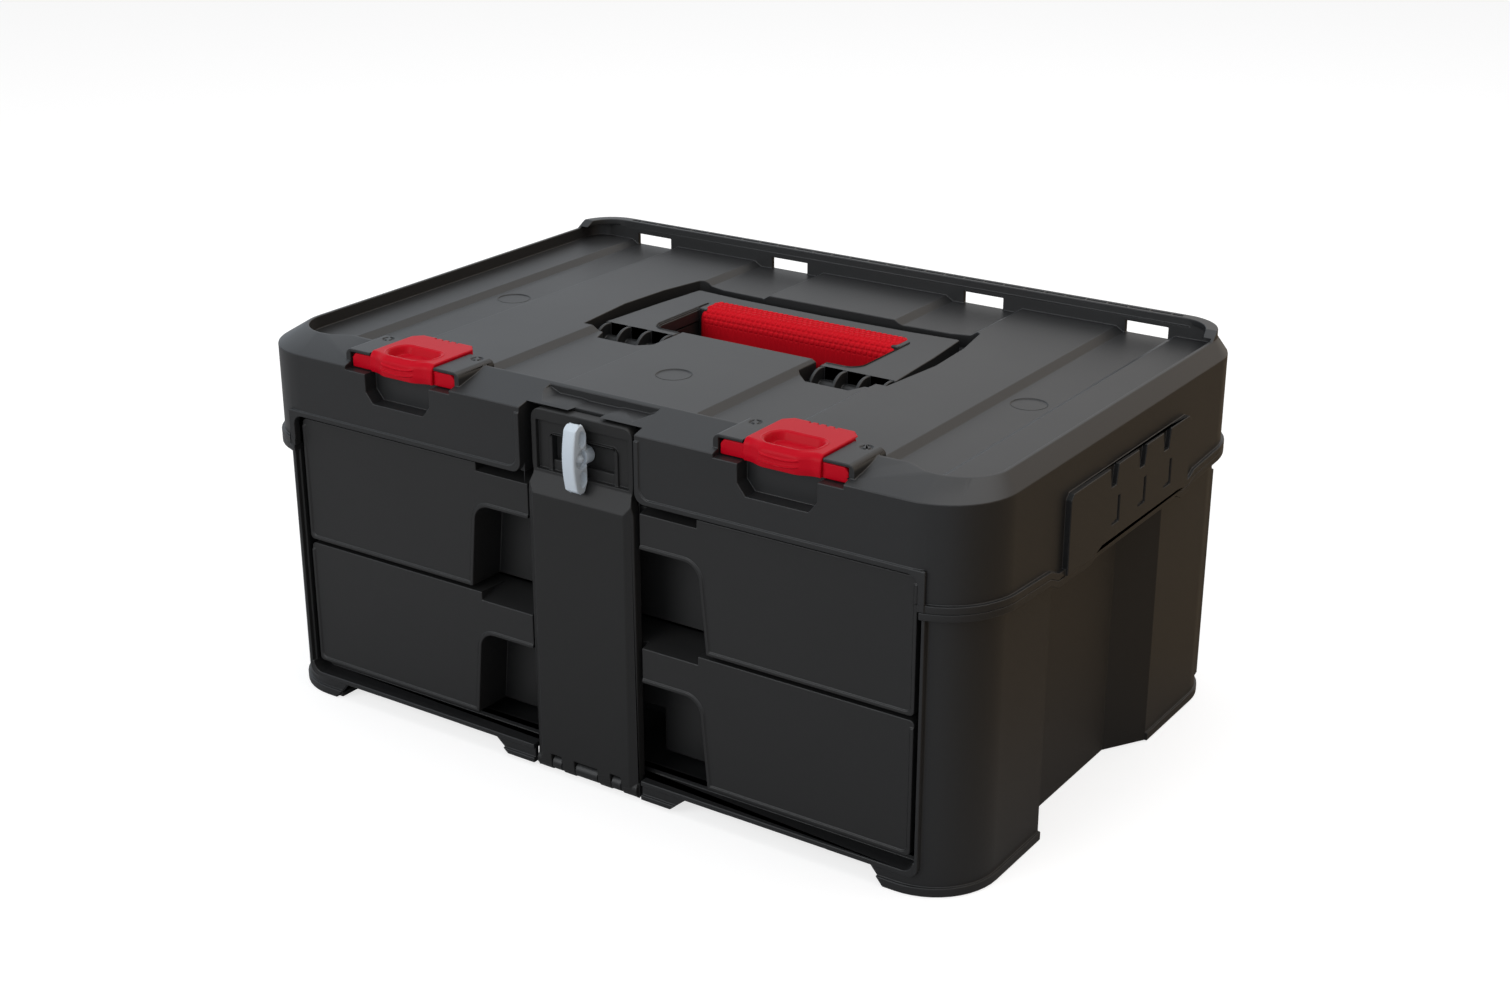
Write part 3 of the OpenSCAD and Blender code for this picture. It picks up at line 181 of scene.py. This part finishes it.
def moulded_grain_group():
    """Grain of a spark-eroded mould: fine noise makes the bump, and slow noise moves the colour up and down
    by a share of Mottle and the roughness by half of that."""
    group = bpy.data.node_groups.new("moulded grain", "ShaderNodeTree")
    for way, name, kind in (("INPUT", "Colour", "Color"), ("INPUT", "Roughness", "Float"),
                            ("INPUT", "Grain Size", "Float"), ("INPUT", "Grain Depth", "Float"),
                            ("INPUT", "Mottle", "Float"), ("OUTPUT", "Colour", "Color"),
                            ("OUTPUT", "Roughness", "Float"), ("OUTPUT", "Normal", "Vector")):
        group.interface.new_socket(name=name, in_out=way, socket_type=f"NodeSocket{kind}")
    link = group.links.new
    given = group.nodes.new("NodeGroupInput")
    result = group.nodes.new("NodeGroupOutput")
    place = add_node(group, "TexCoord")
    fine = add_node(group, "TexNoise", {"Detail": 3.0, "Roughness": 0.6})
    link(place.outputs["Object"], fine.inputs["Vector"])
    link(given.outputs["Grain Size"], fine.inputs["Scale"])
    bump = add_node(group, "Bump", {"Strength": 0.6})
    link(given.outputs["Grain Depth"], bump.inputs["Distance"])
    link(fine.outputs["Fac"], bump.inputs["Height"])
    link(bump.outputs["Normal"], result.inputs["Normal"])
    slow = add_node(group, "TexNoise", {"Scale": 14.0, "Detail": 5.0})
    link(place.outputs["Object"], slow.inputs["Vector"])
    centred = add_node(group, "Math", {1: 0.5}, operation="SUBTRACT")
    link(slow.outputs["Fac"], centred.inputs[0])
    spread = add_node(group, "Math", operation="MULTIPLY")
    link(centred.outputs[0], spread.inputs[0])
    link(given.outputs["Mottle"], spread.inputs[1])
    about_one = add_node(group, "Math", {1: 1.0}, operation="ADD")
    link(spread.outputs[0], about_one.inputs[0])
    tint = add_node(group, "VectorMath", operation="SCALE")
    link(given.outputs["Colour"], tint.inputs[0])
    link(about_one.outputs[0], tint.inputs["Scale"])
    link(tint.outputs["Vector"], result.inputs["Colour"])
    gloss = add_node(group, "Math", {1: 0.5}, operation="MULTIPLY_ADD")
    link(spread.outputs[0], gloss.inputs[0])
    link(given.outputs["Roughness"], gloss.inputs[2])
    link(gloss.outputs[0], result.inputs["Roughness"])
    return group


moulded_grain = moulded_grain_group()


def plastic(name, colour, roughness, specular=0.3):
    """A moulded plastic: the grain group feeds colour, roughness and normal of one Principled shader."""
    material = bpy.data.materials.new(name)
    material.use_nodes = True
    tree = material.node_tree
    shader = tree.nodes["Principled BSDF"]
    shader.inputs["Specular IOR Level"].default_value = specular
    grain = add_node(tree, "Group", {"Colour": (*colour, 1.0), "Roughness": roughness,
                                     "Grain Size": grain_size, "Grain Depth": grain_depth,
                                     "Mottle": mottle}, node_tree=moulded_grain)
    for output, socket in (("Colour", "Base Color"), ("Roughness", "Roughness"), ("Normal", "Normal")):
        tree.links.new(grain.outputs[output], shader.inputs[socket])
    return material


def place_piece(piece, body, material, replaced):
    """Puts the piece in the scene on its body and material, in place of a CAD node."""
    bpy.context.scene.collection.objects.link(piece)
    piece.data.materials.clear()
    piece.data.materials.append(material)
    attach(piece, body)
    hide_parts(replaced)


def rounded_copy(node, name, radius):
    """The node's own mesh, merged, with its flat faces joined. A Bevel modifier rounds each edge that turns
    by more than the edge angle, and the wide faces keep their own normals."""
    merge_distance, flat_angle, edge_angle = 2e-6, radians(0.5), radians(24)
    mesh = nodes[node].data.copy()
    work = bmesh.new()
    work.from_mesh(mesh)
    bmesh.ops.remove_doubles(work, verts=work.verts, dist=merge_distance)
    bmesh.ops.dissolve_limit(work, angle_limit=flat_angle, verts=work.verts, edges=work.edges)
    work.to_mesh(mesh)
    work.free()
    mesh.polygons.foreach_set("use_smooth", np.ones(len(mesh.polygons), bool))
    piece = bpy.data.objects.new(name, mesh)
    bevel = piece.modifiers.new("rounded edges", "BEVEL")
    bevel.width = radius
    bevel.segments = 2
    bevel.limit_method = "ANGLE"
    bevel.angle_limit = edge_angle
    bevel.use_clamp_overlap = False
    flatten = piece.modifiers.new("flat faces", "WEIGHTED_NORMAL")
    flatten.mode = "FACE_AREA"
    flatten.weight = 100
    flatten.keep_sharp = True
    return piece


charcoal = plastic("charcoal polypropylene", (0.0125, 0.0128, 0.0133), 0.42)
for node, name in (("lower_body", "body_moulding"), ("top_cover", "cover_moulding")):
    place_piece(rounded_copy(node, name, case_edge), "case", charcoal, node)

# ---------------------------------------------------------------------------
# Drawers: each has a satin black front, moulded in polypropylene, that four
# screws hold to a moulded black tray. The slides' runners are screwed to the
# tray's sides.
# ---------------------------------------------------------------------------
front_edge, tray_edge = 0.0006, 0.0005
satin_black = plastic("satin black drawer front", (0.0112, 0.0112, 0.0113), 0.45)
tray_black = plastic("black drawer tray", (0.018, 0.0185, 0.019), 0.5)
for level in ("upper", "lower"):
    drawer = f"{level}_drawer"
    place_piece(rounded_copy(f"{drawer}_front", f"{level}_front_panel", front_edge), drawer,
                satin_black, f"{drawer}_front")
    place_piece(rounded_copy(f"{drawer}_tray", f"{level}_tray_moulding", tray_edge), drawer,
                tray_black, f"{drawer}_tray")

# ---------------------------------------------------------------------------
# Slides, screws and pins: rails and runners bent from zinc-plated sheet, with
# polished balls in plastic cages between them, and zinc-plated screws, hinge
# pins and lock cam. Their CAD solids stay and only get their materials.
# ---------------------------------------------------------------------------


def metal(name, colour, roughness, brush):
    """A plated or polished steel: fine noise, stretched by the brush scale, varies its roughness and bump."""
    noise_scale, bump_depth, smoother, rougher = 900.0, 0.00001, 0.08, 0.1
    material = bpy.data.materials.new(name)
    material.use_nodes = True
    tree = material.node_tree
    link = tree.links.new
    shader = tree.nodes["Principled BSDF"]
    shader.inputs["Metallic"].default_value = 1.0
    shader.inputs["Base Color"].default_value = (*colour, 1.0)
    stretch = add_node(tree, "Mapping", {"Scale": brush})
    noise = add_node(tree, "TexNoise", {"Scale": noise_scale})
    span = add_node(tree, "MapRange", {"To Min": roughness - smoother, "To Max": roughness + rougher})
    bump = add_node(tree, "Bump", {"Distance": bump_depth})
    link(add_node(tree, "TexCoord").outputs["Object"], stretch.inputs["Vector"])
    link(stretch.outputs["Vector"], noise.inputs["Vector"])
    link(noise.outputs["Fac"], span.inputs["Value"])
    link(span.outputs["Result"], shader.inputs["Roughness"])
    link(noise.outputs["Fac"], bump.inputs["Height"])
    link(bump.outputs["Normal"], shader.inputs["Normal"])
    return material


def repaint(node, material):
    """Gives a CAD node that stays in the scene its material."""
    mesh = nodes[node].data
    mesh.materials.clear()
    mesh.materials.append(material)


zinc = metal("zinc-plated sheet", (0.62, 0.64, 0.66), 0.34, (1.0, 0.05, 1.0))
bright_steel = metal("polished steel", (0.7, 0.7, 0.7), 0.16, (1.0, 1.0, 1.0))
cage_black = plastic("black cage plastic", (0.02, 0.02, 0.02), 0.5)
for level in ("upper", "lower"):
    for side in ("left", "right"):
        repaint(f"{level}_{side}_rail", zinc)
        repaint(f"{level}_{side}_runner", zinc)
        repaint(f"{level}_{side}_balls", bright_steel)
        repaint(f"{level}_{side}_ball_cage", cage_black)
    repaint(f"{level}_front_screws", zinc)
    repaint(f"{level}_runner_screws", zinc)
for node in ("cover_screws", "rail_screws", "cam_screw", "lock_cam", "flap_hinge_pin", "handle_pins"):
    repaint(node, zinc)

# ---------------------------------------------------------------------------
# Flap and knob: the flap is one black moulding on a pin at its foot. The
# light grey knob in its head is a bowed wing with two hollows and a round
# boss on each cheek, on a spindle that turns the lock cam behind it.
# ---------------------------------------------------------------------------
flap_edge = 0.0006
flap_black = plastic("flap polypropylene", (0.0142, 0.0142, 0.0142), 0.45, specular=0.2)
place_piece(rounded_copy("front_flap", "flap_moulding", flap_edge), "flap", flap_black,
            "front_flap")


def ease(t):
    """0 up to t = 0, 1 from t = 1 on, and the smooth cubic 3 t^2 - 2 t^3 between them."""
    t = np.clip(t, 0, 1)
    return t * t * (3 - 2 * t)


def rectangle(left, low, right, high):
    """The four corners of a rectangle, anticlockwise."""
    return [(left, low), (right, low), (right, high), (left, high)]


def rounded_path(corners, radii, count):
    """A closed path of count points, evenly spaced along its length, round the anticlockwise corners. Each
    corner is a quadratic curve that leaves and meets its sides at its radius. Also gives the outward normals
    and the distance along the path."""
    corners = np.array(corners, float)
    before = np.roll(corners, 1, axis=0) - corners
    after = np.roll(corners, -1, axis=0) - corners
    reach = np.broadcast_to(np.array(radii, float), len(corners))[:, None]
    start = corners + before / np.linalg.norm(before, axis=1, keepdims=True) * reach
    stop = corners + after / np.linalg.norm(after, axis=1, keepdims=True) * reach
    points_per_bend = 13
    t = np.linspace(0, 1, points_per_bend)[None, :, None]
    bends = (1 - t) ** 2 * start[:, None] + 2 * t * (1 - t) * corners[:, None] + t ** 2 * stop[:, None]
    points = bends.reshape(-1, 2)
    points = np.vstack([points, points[:1]])
    lengths = np.concatenate([[0], np.cumsum(np.linalg.norm(np.diff(points, axis=0), axis=1))])
    along = np.linspace(0, lengths[-1], count + 1)[:-1]
    path = np.column_stack([np.interp(along, lengths, points[:, 0]), np.interp(along, lengths, points[:, 1])])
    run = np.roll(path, -1, axis=0) - np.roll(path, 1, axis=0)
    run /= np.linalg.norm(run, axis=1, keepdims=True)
    return path, np.column_stack([run[:, 1], -run[:, 0]]), along


def rounded_run(first, last, end_radius, end_steps, count):
    """Stations from first to last: count of them between the rounded ends, and end_steps on each end. Also
    gives their distance from the nearer end, and the quarter circle by which an outline is drawn in there."""
    end = end_radius * (1 - np.sin(np.linspace(0, pi / 2, end_steps + 1)[1:]))
    middle = np.linspace(first + end_radius, last - end_radius, count)
    stations = np.sort(np.concatenate([first + end, middle, last - end]))
    from_end = np.minimum(stations - first, last - stations)
    inset = end_radius * (1 - np.sqrt(1 - np.clip(1 - from_end / end_radius, 0, 1) ** 2))
    return stations, from_end, inset


def closed_tube(grids):
    """One mesh of closed tubes. Each grid holds a tube's rings in the order of its run, each anticlockwise as
    seen from the run's far end. Four-sided faces join the rings, and a flat face closes each end."""
    crease = radians(50)
    vertices, faces, first = [], [], 0
    for grid in grids:
        rings, around, _ = grid.shape
        i, j = np.meshgrid(np.arange(rings - 1), np.arange(around), indexing="ij")
        k = (j + 1) % around
        quads = np.stack([i * around + j, i * around + k,
                          (i + 1) * around + k, (i + 1) * around + j], axis=-1)
        faces += (quads.reshape(-1, 4) + first).tolist()
        last_ring = first + (rings - 1) * around
        faces.append(list(range(first + around - 1, first - 1, -1)))
        faces.append(list(range(last_ring, last_ring + around)))
        vertices.append(grid.reshape(-1, 3))
        first += rings * around
    mesh = bpy.data.meshes.new("tube")
    mesh.from_pydata(np.vstack(vertices).tolist(), [], faces)
    mesh.polygons.foreach_set("use_smooth", np.ones(len(mesh.polygons), bool))
    mesh.set_sharp_from_angle(angle=crease)
    return mesh


def tube_along_x(x, rings):
    """The grid of a tube along x, from its stations and its rings of (y, z)."""
    return np.dstack([np.broadcast_to(x[:, None], rings.shape[:2]), rings])


def bar_grid(corners, radii, first, last, end_radius, count=96):
    """A bar along x with rounded ends: the outline through the (y, z) corners, drawn in near each end."""
    path, normal, _ = rounded_path(corners, radii, count)
    x, _, inset = rounded_run(first, last, end_radius, end_steps=4, count=2)
    return tube_along_x(x, path[None] - normal[None] * inset[:, None, None])


# a bar whose corners are given as (z, x) runs along y once its coordinates are taken in this order
run_along_y = [2, 0, 1]


def round_bar_grid(radius, corner, first, last, end_radius):
    """A round bar along y with rounded ends, drawn as 24 sides whose corners are rounded."""
    return bar_grid(circle(radius, 24), corner, first, last, end_radius)[..., run_along_y]


def knob_wing_grid(cheek, half, front, back, bow_radius, tip_back, lean):
    """Rounded rectangles stacked up z. The front edge follows a circle of bow_radius and falls back at its
    tips, the rear edge slants to tip_back over the last lean of each end, and both ends are drawn in along a
    quarter circle. Each cheek sinks by an eased ellipse above and below the middle, and by a ring round a
    raised boss."""
    front_corner, back_corner, end_radius = 0.0016, 0.0009, 0.0014
    tip_fall, tip_length = 0.0022, 0.003
    hollow_depth, hollow_middle, hollow_half, hollow_soft = 0.0028, 0.0112, 0.0048, 0.28
    hollow_share, hollow_share_half, boss_share = 0.63, 0.30, 0.66
    ring_depth, ring_radius, ring_soft = 0.8, 0.0054, 0.0008
    boss_height, boss_radius, boss_soft = 0.9, 0.0038, 0.0034
    depth = back - front
    path, normal, _ = rounded_path(rectangle(-cheek, 0, cheek, depth),
                                   [front_corner, front_corner, back_corner, back_corner], count=180)
    z, _, inset = rounded_run(-half, half, end_radius, end_steps=6, count=150)
    z, inset = z[:, None], inset[:, None]
    tip = tip_fall * ease((np.abs(z) - half + tip_length) / tip_length)
    y_front = front + bow_radius - np.sqrt(bow_radius ** 2 - z ** 2) + tip
    y_back = back + (tip_back - back) * np.clip((np.abs(z) - (half - lean)) / lean, 0, 1)
    x, share = path[None, :, 0], path[None, :, 1] / depth
    y = y_front + share * (y_back - y_front)
    on_cheek = ease((np.abs(normal[None, :, 0]) - 0.75) / 0.2)
    hollow = np.zeros((z.size, x.size))
    for middle in (-hollow_middle, hollow_middle):
        away = np.hypot((share - hollow_share) / hollow_share_half, (z - middle) / hollow_half)
        hollow = hollow + ease((1 - away) / hollow_soft)
    from_boss = np.hypot((share - boss_share) * depth, z)
    hollow = hollow + ring_depth * ease((ring_radius - from_boss) / ring_soft)
    hollow = hollow - boss_height * ease((boss_radius - from_boss) / boss_soft)
    x = x - np.sign(x) * (hollow_depth * hollow * on_cheek)
    x = x - normal[None, :, 0] * inset
    y = y - normal[None, :, 1] * inset
    return np.stack(np.broadcast_arrays(x, y, z), axis=-1)


def corners_of(node):
    """The lowest and the highest corner of a CAD node's box."""
    return [np.array(corner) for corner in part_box(node)]


knob_grey = plastic("light grey knob", (0.50, 0.56, 0.62), 0.42)
low, high = corners_of("lock_knob")
front = low[1]
wing_back = front + 0.0115
knob_middle = np.array([(low[0] + high[0]) / 2, 0, (low[2] + high[2]) / 2])
wing = knob_wing_grid(cheek=0.0042, half=(high[2] - low[2]) / 2, front=front, back=wing_back,
                      bow_radius=0.062, tip_back=front + 0.0083, lean=0.0058)
boss = round_bar_grid(radius=0.005, corner=0.0003, first=wing_back - 0.001, last=front + 0.0172,
                      end_radius=0.0004)
spindle = round_bar_grid(radius=0.003, corner=0.0002, first=front + 0.0165, last=high[1], end_radius=0.0003)
knob = closed_tube([grid + knob_middle for grid in (wing, boss, spindle)])
place_piece(bpy.data.objects.new("turn_knob", knob), "knob", knob_grey, "lock_knob")

# ---------------------------------------------------------------------------
# Stacking latches: each is one moulding in red plastic, a face with a plate
# on top that has a thumb hollow, side bars under the ears of the cover and a
# foot in the cover's slot.
# ---------------------------------------------------------------------------


def latch_outline(face_low, plate_low, front, back, top):
    """The face and the plate in (y, z), anticlockwise: up behind the face, back under the plate, up its rear
    edge, forward over its top, and down the brow, the belly and the foot of the face."""
    face_thick, plate_back = 0.0060, 0.0036
    brow_back, brow_down = 0.0010, 0.0024
    belly_back, belly_up, foot_back = 0.0002, 0.0035, 0.0012
    corners = [(front + face_thick, face_low), (front + face_thick, plate_low), (back, plate_low),
               (back, top), (front + plate_back, top), (front + brow_back, top - brow_down),
               (front + belly_back, face_low + belly_up), (front + foot_back, face_low)]
    radii = [0.0010, 0.0003, 0.0008, 0.0007, 0.0011, 0.0014, 0.0012, 0.0006]
    return rounded_path(corners, radii, count=420)


def face_swell(x, y, front):
    """How far the outline moves back: at the front its middle swells forward, its sides fall back along an
    eased slope, and both die away towards the rear."""
    middle_forward, side_fall, flat_half, slope, reach = 0.0019, 0.0032, 0.009, 0.011, 0.012
    side_share = ease((np.abs(x) - flat_half) / slope)
    return (side_fall * side_share - middle_forward) * (1 - ease((y - front) / reach))


def face_ridges(x, z, face_low):
    """1 on the crests of two ridges across the face and 0 beside them. Each follows a parabola that is lowest
    at mid-width, and fades at its ends."""
    half_width, half_length, fade, rise, rise_at = 0.0008, 0.0105, 0.002, 0.0012, 0.012
    along_ridge = 1 - ease((np.abs(x) - half_length) / fade)
    ridges = np.zeros((x.size, z.size))
    for level in (0.0034, 0.0066):
        crest = face_low + level + rise * (x / rise_at) ** 2
        ridges += (1 - ease(np.abs(z - crest) / half_width)) * along_ridge
    return ridges


def inside_hollow(x, y, side, front):
    """The distance inside the edge of the thumb hollow: a rounded rectangle whose front side bows forward."""
    half, hollow_front, hollow_back, corner, bow = 0.0162, front + 0.0058, front + 0.0232, 0.0072, 0.0012
    middle, reach = (hollow_front + hollow_back) / 2, (hollow_back - hollow_front) / 2
    bowed_y = y + bow * (1 - side ** 2) * (y < middle)
    past_x = np.maximum(np.abs(x) - (half - corner), 0)
    past_y = np.maximum(np.abs(bowed_y - middle) - (reach - corner), 0)
    return corner - np.hypot(past_x, past_y)


def rear_notch(across, behind):
    """1 in a notch of the plate's rear edge, 0 elsewhere, by the distances from its middle and the edge."""
    half, slope, length, run = 0.0007, 0.0006, 0.0022, 0.0012
    return (1 - ease((np.abs(across) - half) / slope)) * ease((behind + length) / run)


def latch_plate_grid(plate_half, face_low, plate_low, front, back, top):
    """The outline of face and plate swept along x. Ridges stand out from the face, the thumb hollow sinks the
    plate inside a fine lip, four notches cut its rear edge, its rear corners are drawn in, and its two sides
    are rounded over."""
    ridge_height, ridge_reach, ridge_fade = 0.0009, 0.004, 0.002
    hollow_depth, hollow_wall, lip_height, lip_half = 0.0046, 0.0030, 0.0003, 0.0009
    notch_depth, notch_row_half = 0.0012, 0.009
    corner_length, corner_cut, side_round, side_start = 0.006, 0.0045, 0.0005, 0.975
    path, normal, _ = latch_outline(face_low, plate_low, front, back, top)
    x = np.linspace(-plate_half, plate_half, 171)[:, None]
    y, z = path[None, :, 0], path[None, :, 1]
    ny, nz = normal[None, :, 0], normal[None, :, 1]
    side = np.clip(np.abs(x) / plate_half, 0, 1)
    on_face = ease(-ny) * (1 - ease((y - front - ridge_reach) / ridge_fade))
    on_top = ease((nz - 0.25) / 0.5)
    out = ridge_height * face_ridges(x, z, face_low) * on_face
    inside = inside_hollow(x, y, side, front)
    out = out - hollow_depth * ease(inside / hollow_wall) * on_top
    out = out + lip_height * (1 - ease(np.abs(inside + lip_half) / lip_half)) * on_top
    for place in np.linspace(-notch_row_half, notch_row_half, 4):
        out = out - notch_depth * rear_notch(x - place, y - back) * ease(nz + ny)
    out = out - side_round * ease((side - side_start) / (1 - side_start))
    cut = ease((y - (back - corner_length)) / corner_length) * corner_cut
    return np.stack(np.broadcast_arrays(x * (1 - cut / plate_half), y + face_swell(x, y, front) + ny * out,
                                        z + nz * out), axis=-1)


latch_red = plastic("red latch plastic", (0.43, 0.001, 0.010), 0.42, specular=0.09)
bar_edge, cut_width, cut_height = 0.0006, 0.0022, 0.0026
neck_half, neck_corner, neck_edge = 0.005, 0.0005, 0.0004
tongue_half, tongue_thick = 0.009, 0.0034
for side in ("left", "right"):
    low, high = corners_of(f"{side}_latch")
    front, back, foot, top = low[1], high[1], low[2], high[2]
    middle_x, bar_half = (low[0] + high[0]) / 2, (high[0] - low[0]) / 2
    plate_half, face_low = bar_half - 0.0148, top - 0.0119
    plate_low, bar_top = top - 0.0053, top - 0.0037
    plate = latch_plate_grid(plate_half, face_low, plate_low, front, back, top)
    bar_front, bar_back = front + 0.0038, front + 0.0078
    bar_corners = [(face_low, bar_half), (face_low, -bar_half), (bar_top - cut_height, -bar_half),
                   (bar_top, cut_width - bar_half), (bar_top, bar_half - cut_width),
                   (bar_top - cut_height, bar_half)]
    bars = bar_grid(bar_corners, bar_edge, bar_front, bar_back, bar_edge, count=240)[..., run_along_y]
    neck_front, neck_back = front + 0.0118, back - 0.004
    neck_low, neck_top = foot + 0.001, plate_low + 0.0006
    neck = bar_grid(rectangle(neck_front, neck_low, neck_back, neck_top), neck_corner,
                    -neck_half, neck_half, neck_edge)
    tongue = bar_grid(rectangle(neck_front, foot, neck_back, foot + tongue_thick), neck_corner,
                      -tongue_half, tongue_half, neck_edge)
    mesh = closed_tube([grid + (middle_x, 0, 0) for grid in (plate, bars, neck, tongue)])
    place_piece(bpy.data.objects.new(f"{side}_stack_latch", mesh), f"{side}_stacking_latch",
                latch_red, f"{side}_latch")

# ---------------------------------------------------------------------------
# Carrying handle: a charcoal frame that folds on two hinge pins, with a red
# rubber grip moulded over its bar. Small bricks stand out from the top of the
# grip and run into flutes on its front.
# ---------------------------------------------------------------------------
frame_edge = 0.0006
frame_charcoal = plastic("handle polypropylene", (0.013, 0.0135, 0.0142), 0.42)
place_piece(rounded_copy("handle_frame", "handle_moulding", frame_edge), "handle",
            frame_charcoal, "handle_frame")


def grip_grid(low, high, corner_radius, brick_length, brick_width, brick_height, joint):
    """A rounded rectangle swept along x, drawn in at the ends by a quarter circle. On its upper part stand
    bricks with joints between them, each row shifted by half a brick from the next. Down the front and back
    the joints across x go on as flutes that die away."""
    end_radius, plain_end = 0.0030, 0.0025
    brick_reach, brick_fade = 0.0105, 0.003
    flute_share, flute_reach, flute_fade = 0.45, 0.017, 0.008
    top_rear_radius, top_front_radius = 0.35 * corner_radius, 1.3 * corner_radius
    path, normal, along = rounded_path(rectangle(low[1], low[2], high[1], high[2]),
                                       [corner_radius, corner_radius, top_rear_radius, top_front_radius],
                                       count=212)
    x, from_end, inset = rounded_run(low[0], high[0], end_radius, end_steps=6, count=400)
    z = path[:, 1]
    # the middle of the top: of the highest points, the small term picks the one nearest mid-depth
    top_middle = along[np.argmax(z - 0.001 * np.abs(path[:, 0] - (low[1] + high[1]) / 2))]
    rows = (along - top_middle) / brick_width + 0.5
    row = np.floor(rows)
    to_row_joint = (0.5 - np.abs(rows - row - 0.5)) * brick_width
    on_top = ease((z - (high[2] - brick_reach)) / brick_fade)
    shift = 0.5 * np.mod(row, 2) * (on_top > 0.3)
    column = x[:, None] / brick_length + shift[None]
    to_column_joint = (0.5 - np.abs(np.mod(column, 1) - 0.5)) * brick_length
    slope = 1.2 * joint
    columns_up = ease((to_column_joint - joint / 2) / slope)
    rows_up = ease((to_row_joint - joint / 2) / slope)
    flutes = flute_share * (1 - on_top) * ease((z - (high[2] - flute_reach)) / flute_fade)
    raised = brick_height * columns_up * (on_top * rows_up + flutes) * (from_end[:, None] > plain_end)
    move = raised - inset[:, None]
    return tube_along_x(x, path[None] + normal[None] * move[..., None])


# the sleeve reaches past the grip solid at its ends, front and back, and its top is lower
end_reach, front_reach, back_reach, top_drop = 0.0040, 0.0010, 0.0003, 0.0018
low, high = corners_of("handle_grip")
sleeve_low = low - (end_reach, front_reach, 0)
sleeve_high = high + (end_reach, back_reach, -top_drop)
grip_red = plastic("red grip rubber", (0.5, 0.003, 0.010), 0.6, specular=0.08)
grip = closed_tube([grip_grid(sleeve_low, sleeve_high, corner_radius=0.0070, brick_length=0.00365,
                              brick_width=0.0034, brick_height=0.0007, joint=0.0005)])
place_piece(bpy.data.objects.new("grip_sleeve", grip), "handle", grip_red, "handle_grip")
